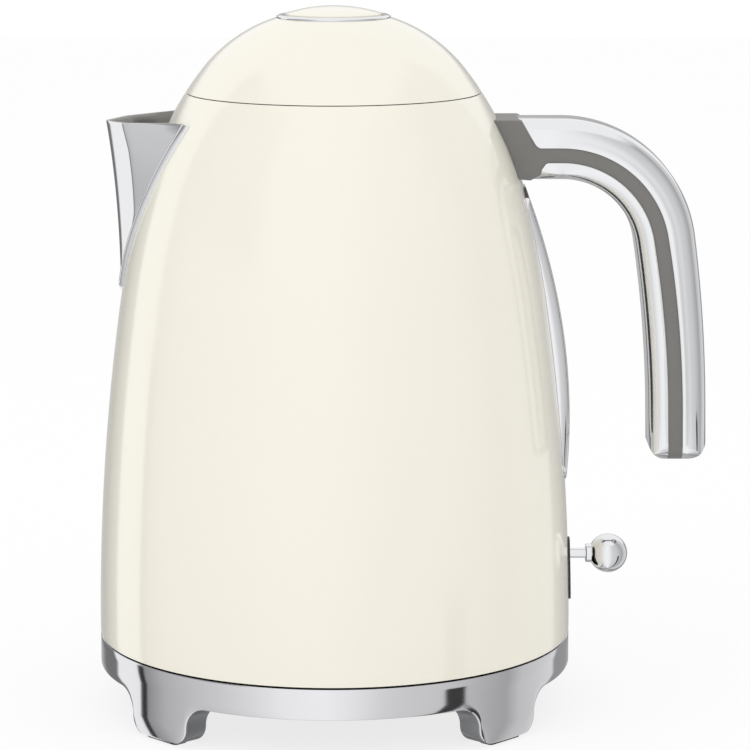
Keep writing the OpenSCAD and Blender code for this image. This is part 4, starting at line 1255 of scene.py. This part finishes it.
    def make(self) -> None:
        """Builds the mount with its core, and the two shells."""
        half, start, reach = self.width / 2 - self.core_lap, self.mount_x - 1 * MM, 30 * MM
        rows = []
        for (bx, bz), (fx, fz) in zip(self._stops(self.back, start), self._stops(self.front, start)):
            rows.append([(bx, -half, bz), (bx, half, bz), (fx, half, fz), (fx, -half, fz)])
        core = cut(loft("handle_core_piece", rows), self._mount_block("mount", half), operation="UNION")
        cut(core, core_of("body_cut", 150 * MM, 220 * MM), self._end())
        self.report.add(shade(soften(core, 0.35 * MM, 3, 30), 40), GREY, "kettle", "handle_core")
        back_start = LINE.radius(self.top) + 2 * MM
        outer = self._strip("handle_back_shell", self.back, self.out, back_start, 7 * MM)
        inner = self._strip("handle_finger_shell", self.front, self.inside, self.mount_x, 6.1 * MM)
        for shell, node in ((outer, "handle_outer_shell"), (inner, "handle_inner_shell")):
            cut(shell, self._mount_block("clear", reach), self._end())
            self.report.add(shade(soften(shell, 0.6 * MM, 3, 38), 40), HANDLE_METAL, "kettle", node)
        places = []
        for z in (self.top - 10 * MM, self.top - 18 * MM):
            lean = Matrix.Rotation(math.pi / 2 - LINE.tilt(z), 4, "Y")
            seat = Matrix.Translation((LINE.radius(z), 0, z))
            places.append(seat @ lean @ Matrix.Translation((0, 0, -1.1 * MM)))
        screws = Screws(head_r=3.2 * MM, head_t=1.6 * MM, shank_r=1.8 * MM, shank_l=7.1 * MM)
        self.report.add(screws.set_of("handle_screw_set", places), STEEL, "kettle", "handle_screws")


# ---------------------------------------------------------------- switch
@dataclass
class Switch:
    """The lever with its ball, and the surround of its slot."""

    report: Report
    height: float = 53.9 * MM
    ball_r: float = 7 * MM
    ball_out: float = 14.6 * MM
    stem_r: float = 1.8 * MM
    inner_l: float = 12.5 * MM

    def make(self) -> None:
        """Turns the lever as one outline about its own axis."""
        r, reach, stem = self.ball_r, LINE.radius(self.height) + self.ball_out, self.stem_r
        start, neck = LINE.radius(self.height, SKIN) - self.inner_l, reach - r - 1.2 * MM
        collar, edge, tip = stem + 1.6 * MM, 0.3 * MM, 0.2 * MM
        meet = math.degrees(math.asin(collar / r))
        shaft = [(AXIS, start), (stem - tip, start), (stem, start + tip), (stem, neck)]
        shoulder = [(collar - edge, neck), (collar, neck + edge)]
        turns = (math.radians(meet + (179.7 - meet) * k / 48) for k in range(49))
        ball = [(r * math.sin(a), reach - r * math.cos(a)) for a in turns]
        outline = [*shaft, *shoulder, *ball]
        lever = lathe("lever_piece", outline, 96)
        lever.data.transform(Matrix.Translation((0, 0, self.height)) @ Matrix.Rotation(math.pi / 2, 4, "Y"))
        self.report.add(shade(lever, 40), CHROME, "lever", "switch_lever")
        bezel = merged_copy("slot_bezel", "slot_surround", 0.2 * MM)
        self.report.add(shade(bezel, 50), BLACK, "kettle", "slot_bezel")


# ---------------------------------------------------------------- lid
@dataclass
class Lid:
    """The dome, the button in its ring, and what hangs under the dome."""

    report: Report
    low: float = SEAM_Z + SEAM_GAP
    button_r: float = 17 * MM
    guide_gap: float = 1.65 * MM
    spring_r: float = 6.2 * MM
    wire_r: float = 0.5 * MM
    turns: int = 5
    wire_steps: int = 28
    spring_low: float = 8.95 * MM
    spring_high: float = 2.35 * MM
    spring_give: float = 3.05 * MM

    def _dome(self) -> bpy.types.Object:
        """The dome's skin, open round the button."""
        hole = self.button_r + self.guide_gap
        high = LINE.top(hole)
        outer, inner = LINE.run(self.low, high), LINE.run(self.low, high - SKIN, SKIN)
        outer[0] = (outer[0][0] - LIP_DROP, self.low + LIP_DROP)
        edge = (outer[0][0] - LIP, self.low)
        return lathe("enamel_dome", [edge, *outer, (hole, high - SKIN), *reversed(inner[:-1])], 288)

    def _ring(self) -> bpy.types.Object:
        """The bright ring round the button, rolled over onto the dome."""
        out, inner = self.button_r + 3.2 * MM, self.button_r + 0.3 * MM
        seat, top = LINE.top(out), LINE.top(self.button_r + 2 * MM) + 0.7 * MM
        side = [(inner, seat - 0.55 * MM), (out - 0.5 * MM, seat + 0.05 * MM), (out, seat + 0.08 * MM)]
        side += [(out, seat + 0.35 * MM), (out - 0.1 * MM, seat + 0.55 * MM)]
        roll = [(out - 0.8 * MM, top - 0.06 * MM), (out - 1.2 * MM, top), (inner + 0.8 * MM, top)]
        roll += [(inner + 0.25 * MM, top - 0.12 * MM), (inner, top - 0.5 * MM)]
        return lathe("button_collar", [*side, *roll], 192)

    def _spring_ends(self) -> Flat:
        """Heights of the spring's lowest and highest wire, between the guide's floor and the button."""
        crown = LINE.top(self.button_r)
        return crown - self.spring_low, crown - self.spring_high

    def _spring(self) -> bpy.types.Object:
        """The button's coil spring as one run of wire."""
        low, high = self._spring_ends()
        steps, r = self.turns * self.wire_steps, self.spring_r
        points = []
        for k in range(steps + 1):
            a = math.tau * self.turns * k / steps
            points.append((r * math.cos(a), r * math.sin(a), low + (high - low) * k / steps))
        return wires("spring_wire", points, [(k, k + 1) for k in range(steps)], self.wire_r, STEEL, 10)

    def make(self) -> None:
        """Builds the lid."""
        self.report.add(shade(self._dome(), 30), ENAMEL, "lid", "lid_dome")
        self.report.add(shade(self._ring(), 40), CHROME, "lid", "button_ring")
        spring = self.report.add(self._spring(), STEEL, "lid", "button_spring")
        low, high = self._spring_ends()
        keep = 1 - self.spring_give / (high - low)
        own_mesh(spring)
        cap = merged_copy("lid_button", "button_cap", 0.3 * MM)
        self.report.add(shade(cap, 30), BUTTON_CREAM, "button", "lid_button")
        for node, finish in (
            ("lid_inner_plate", PALE), ("lid_gasket", SILICONE), ("hinge_arm", STEEL), ("button_guide", BLACK),
            ("lid_latch", BLACK),
        ):
            self.report.dress(node, finish)


# ---------------------------------------------------------------- studio
@dataclass
class Studio:
    """The camera, the floor, the lamps and the pale surround that bright metal mirrors."""

    place: Point = (0.0146, -1.1883, 0.3359)
    pitch: float = 10.32
    lens: float = 161.2
    sky: float = 0.80
    back_sky: float = 0.62
    front: Flat = (-124, 128)
    screens: tuple[Flat, ...] = (
        (-180, 0.5), (-166, 0.5), (-152, 0.2), (-134, 0.2), (-131, 1.0), (-109, 1.0), (-106, 0.30),
        (-99, 0.38), (-90, 0.52), (-72, 0.64), (-55, 0.74), (-40, 0.86), (-25, 1.0), (-4, 1.06),
        (8, 0.97), (16, 0.88), (24, 0.79), (34, 0.73), (54, 0.68), (69, 0.58), (80, 0.50),
        (92, 0.44), (102, 0.64), (134, 0.80), (137, 0.34), (160, 0.34), (164, 0.40), (180, 0.5),
    )
    flags: tuple[Point, ...] = ((-108.6, -103.6, -0.03), (55.5, 66.5, -0.19))
    flag_dark: float = 0.92
    shade_from: Flat = (-105, -45)
    shade_up: Flat = (0.24, 0.95)
    shade_level: float = 0.36
    floor_half: float = 3.0
    floor_glow: float = 0.8

    def camera(self) -> None:
        """Sets the camera."""
        data = bpy.data.cameras.new("camera")
        data.lens, data.sensor_width, data.clip_start = self.lens, 36.0, 0.01
        obj = bpy.data.objects.new("camera", data)
        obj.location = self.place
        obj.rotation_euler = (math.radians(90 - self.pitch), 0, 0)
        bpy.context.scene.collection.objects.link(obj)
        bpy.context.scene.camera = obj

    def floor(self) -> None:
        """A plain pale floor that shows the kettle's soft shadow."""
        far = self.floor_half
        floor = build("floor", [(-far, -far, 0), (far, -far, 0), (far, far, 0), (-far, far, 0)], [(0, 1, 2, 3)])
        made = bpy.data.materials.new("pale_floor")
        made.use_nodes = True
        graph = Graph(made.node_tree)
        seen = graph.node("ShaderNodeLightPath", {}, out="Is Camera Ray")
        lit = graph.node("ShaderNodeBsdfDiffuse", {}, (0.93, 0.93, 0.93, 1))
        plain = graph.node("ShaderNodeEmission", {}, (1, 1, 1, 1), 1.0)
        mixed = graph.node("ShaderNodeMixShader", {}, seen * self.floor_glow, lit, plain)
        graph.close(mixed)
        floor.data.materials.append(made)
        floor.visible_glossy = False

    def surround(self) -> None:
        """A white world; what metal mirrors has the soft bands of a studio's screens and flags."""
        world = bpy.data.worlds.new("surround")
        bpy.context.scene.world = world
        world.use_nodes = True
        graph = Graph(world.node_tree)
        look = graph.node("ShaderNodeTexCoord", {}, out="Generated")
        parts = graph.make("ShaderNodeSeparateXYZ", {})
        graph.feed(parts.inputs[0], look)
        x, y, z = (Value(graph, s) for s in parts.outputs)
        turn = graph.node("ShaderNodeMath", {"operation": "ARCTAN2"}, x, y * -1.0)
        a = turn * (180 / math.pi)
        screens: Value | float = self.screens[0][1]
        for (low, dim), (high, bright) in zip(self.screens, self.screens[1:]):
            screens = ((a - low) / (high - low)).clamp() * (bright - dim) + screens
        for start, end, top in self.flags:
            flag = a.between(start, end, 0.7) * (1 - z.between(top, 3.0, 0.015))
            screens = screens * (1 - flag * self.flag_dark)
        shadow = a.between(*self.shade_from, 5) * z.between(*self.shade_up, 0.06)
        screens = screens * (1 - shadow) + shadow * self.shade_level
        behind = 1 - a.between(*self.front, 4)
        rise = (z + behind * self.back_sky).between(self.sky, 2.0, 0.05)
        screens = screens * (1 - rise) + rise
        path = graph.make("ShaderNodeLightPath", {})
        glossy = Value(graph, path.outputs["Is Glossy Ray"])
        level = 1.0 * (1 - glossy) + screens * glossy
        tone = graph.node("ShaderNodeCombineColor", {}, level, level, level)
        graph.close(graph.node("ShaderNodeBackground", {}, tone, 1.0), "ShaderNodeOutputWorld")

    def lamps(self) -> None:
        """A broad soft lamp high on the left and a weaker one on the right."""
        pair = (("key", (-1.0, -0.9, 1.3), 0.9, 3.0), ("fill", (1.1, -0.8, 0.9), 0.8, 1.0))
        for name, place, size, power in pair:
            data = bpy.data.lights.new(name, "AREA")
            data.shape, data.size, data.energy = "DISK", size, power
            lamp = bpy.data.objects.new(name, data)
            lamp.location = place
            lamp.rotation_euler = (Vector((0, 0, 0.12)) - Vector(place)).to_track_quat("-Z", "Y").to_euler()
            lamp.visible_glossy = False
            bpy.context.scene.collection.objects.link(lamp)

    def make(self) -> None:
        """Sets up the whole studio."""
        self.camera()
        self.floor()
        self.surround()
        self.lamps()
        bpy.context.scene.view_settings.view_transform = "Standard"


def main() -> None:
    """Loads the frame and dresses it, piece by piece."""
    logging.basicConfig(level=logging.INFO, format="%(name)s: %(message)s", stream=sys.stdout)
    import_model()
    Studio().make()
    report = Report()
    for part in (PowerBase, KettleBody, Window, Spout, Handle, Switch, Lid):
        part(report).make()
    LOG.info("%d pieces", len(report.made))


if __name__ == "__main__":
    main()
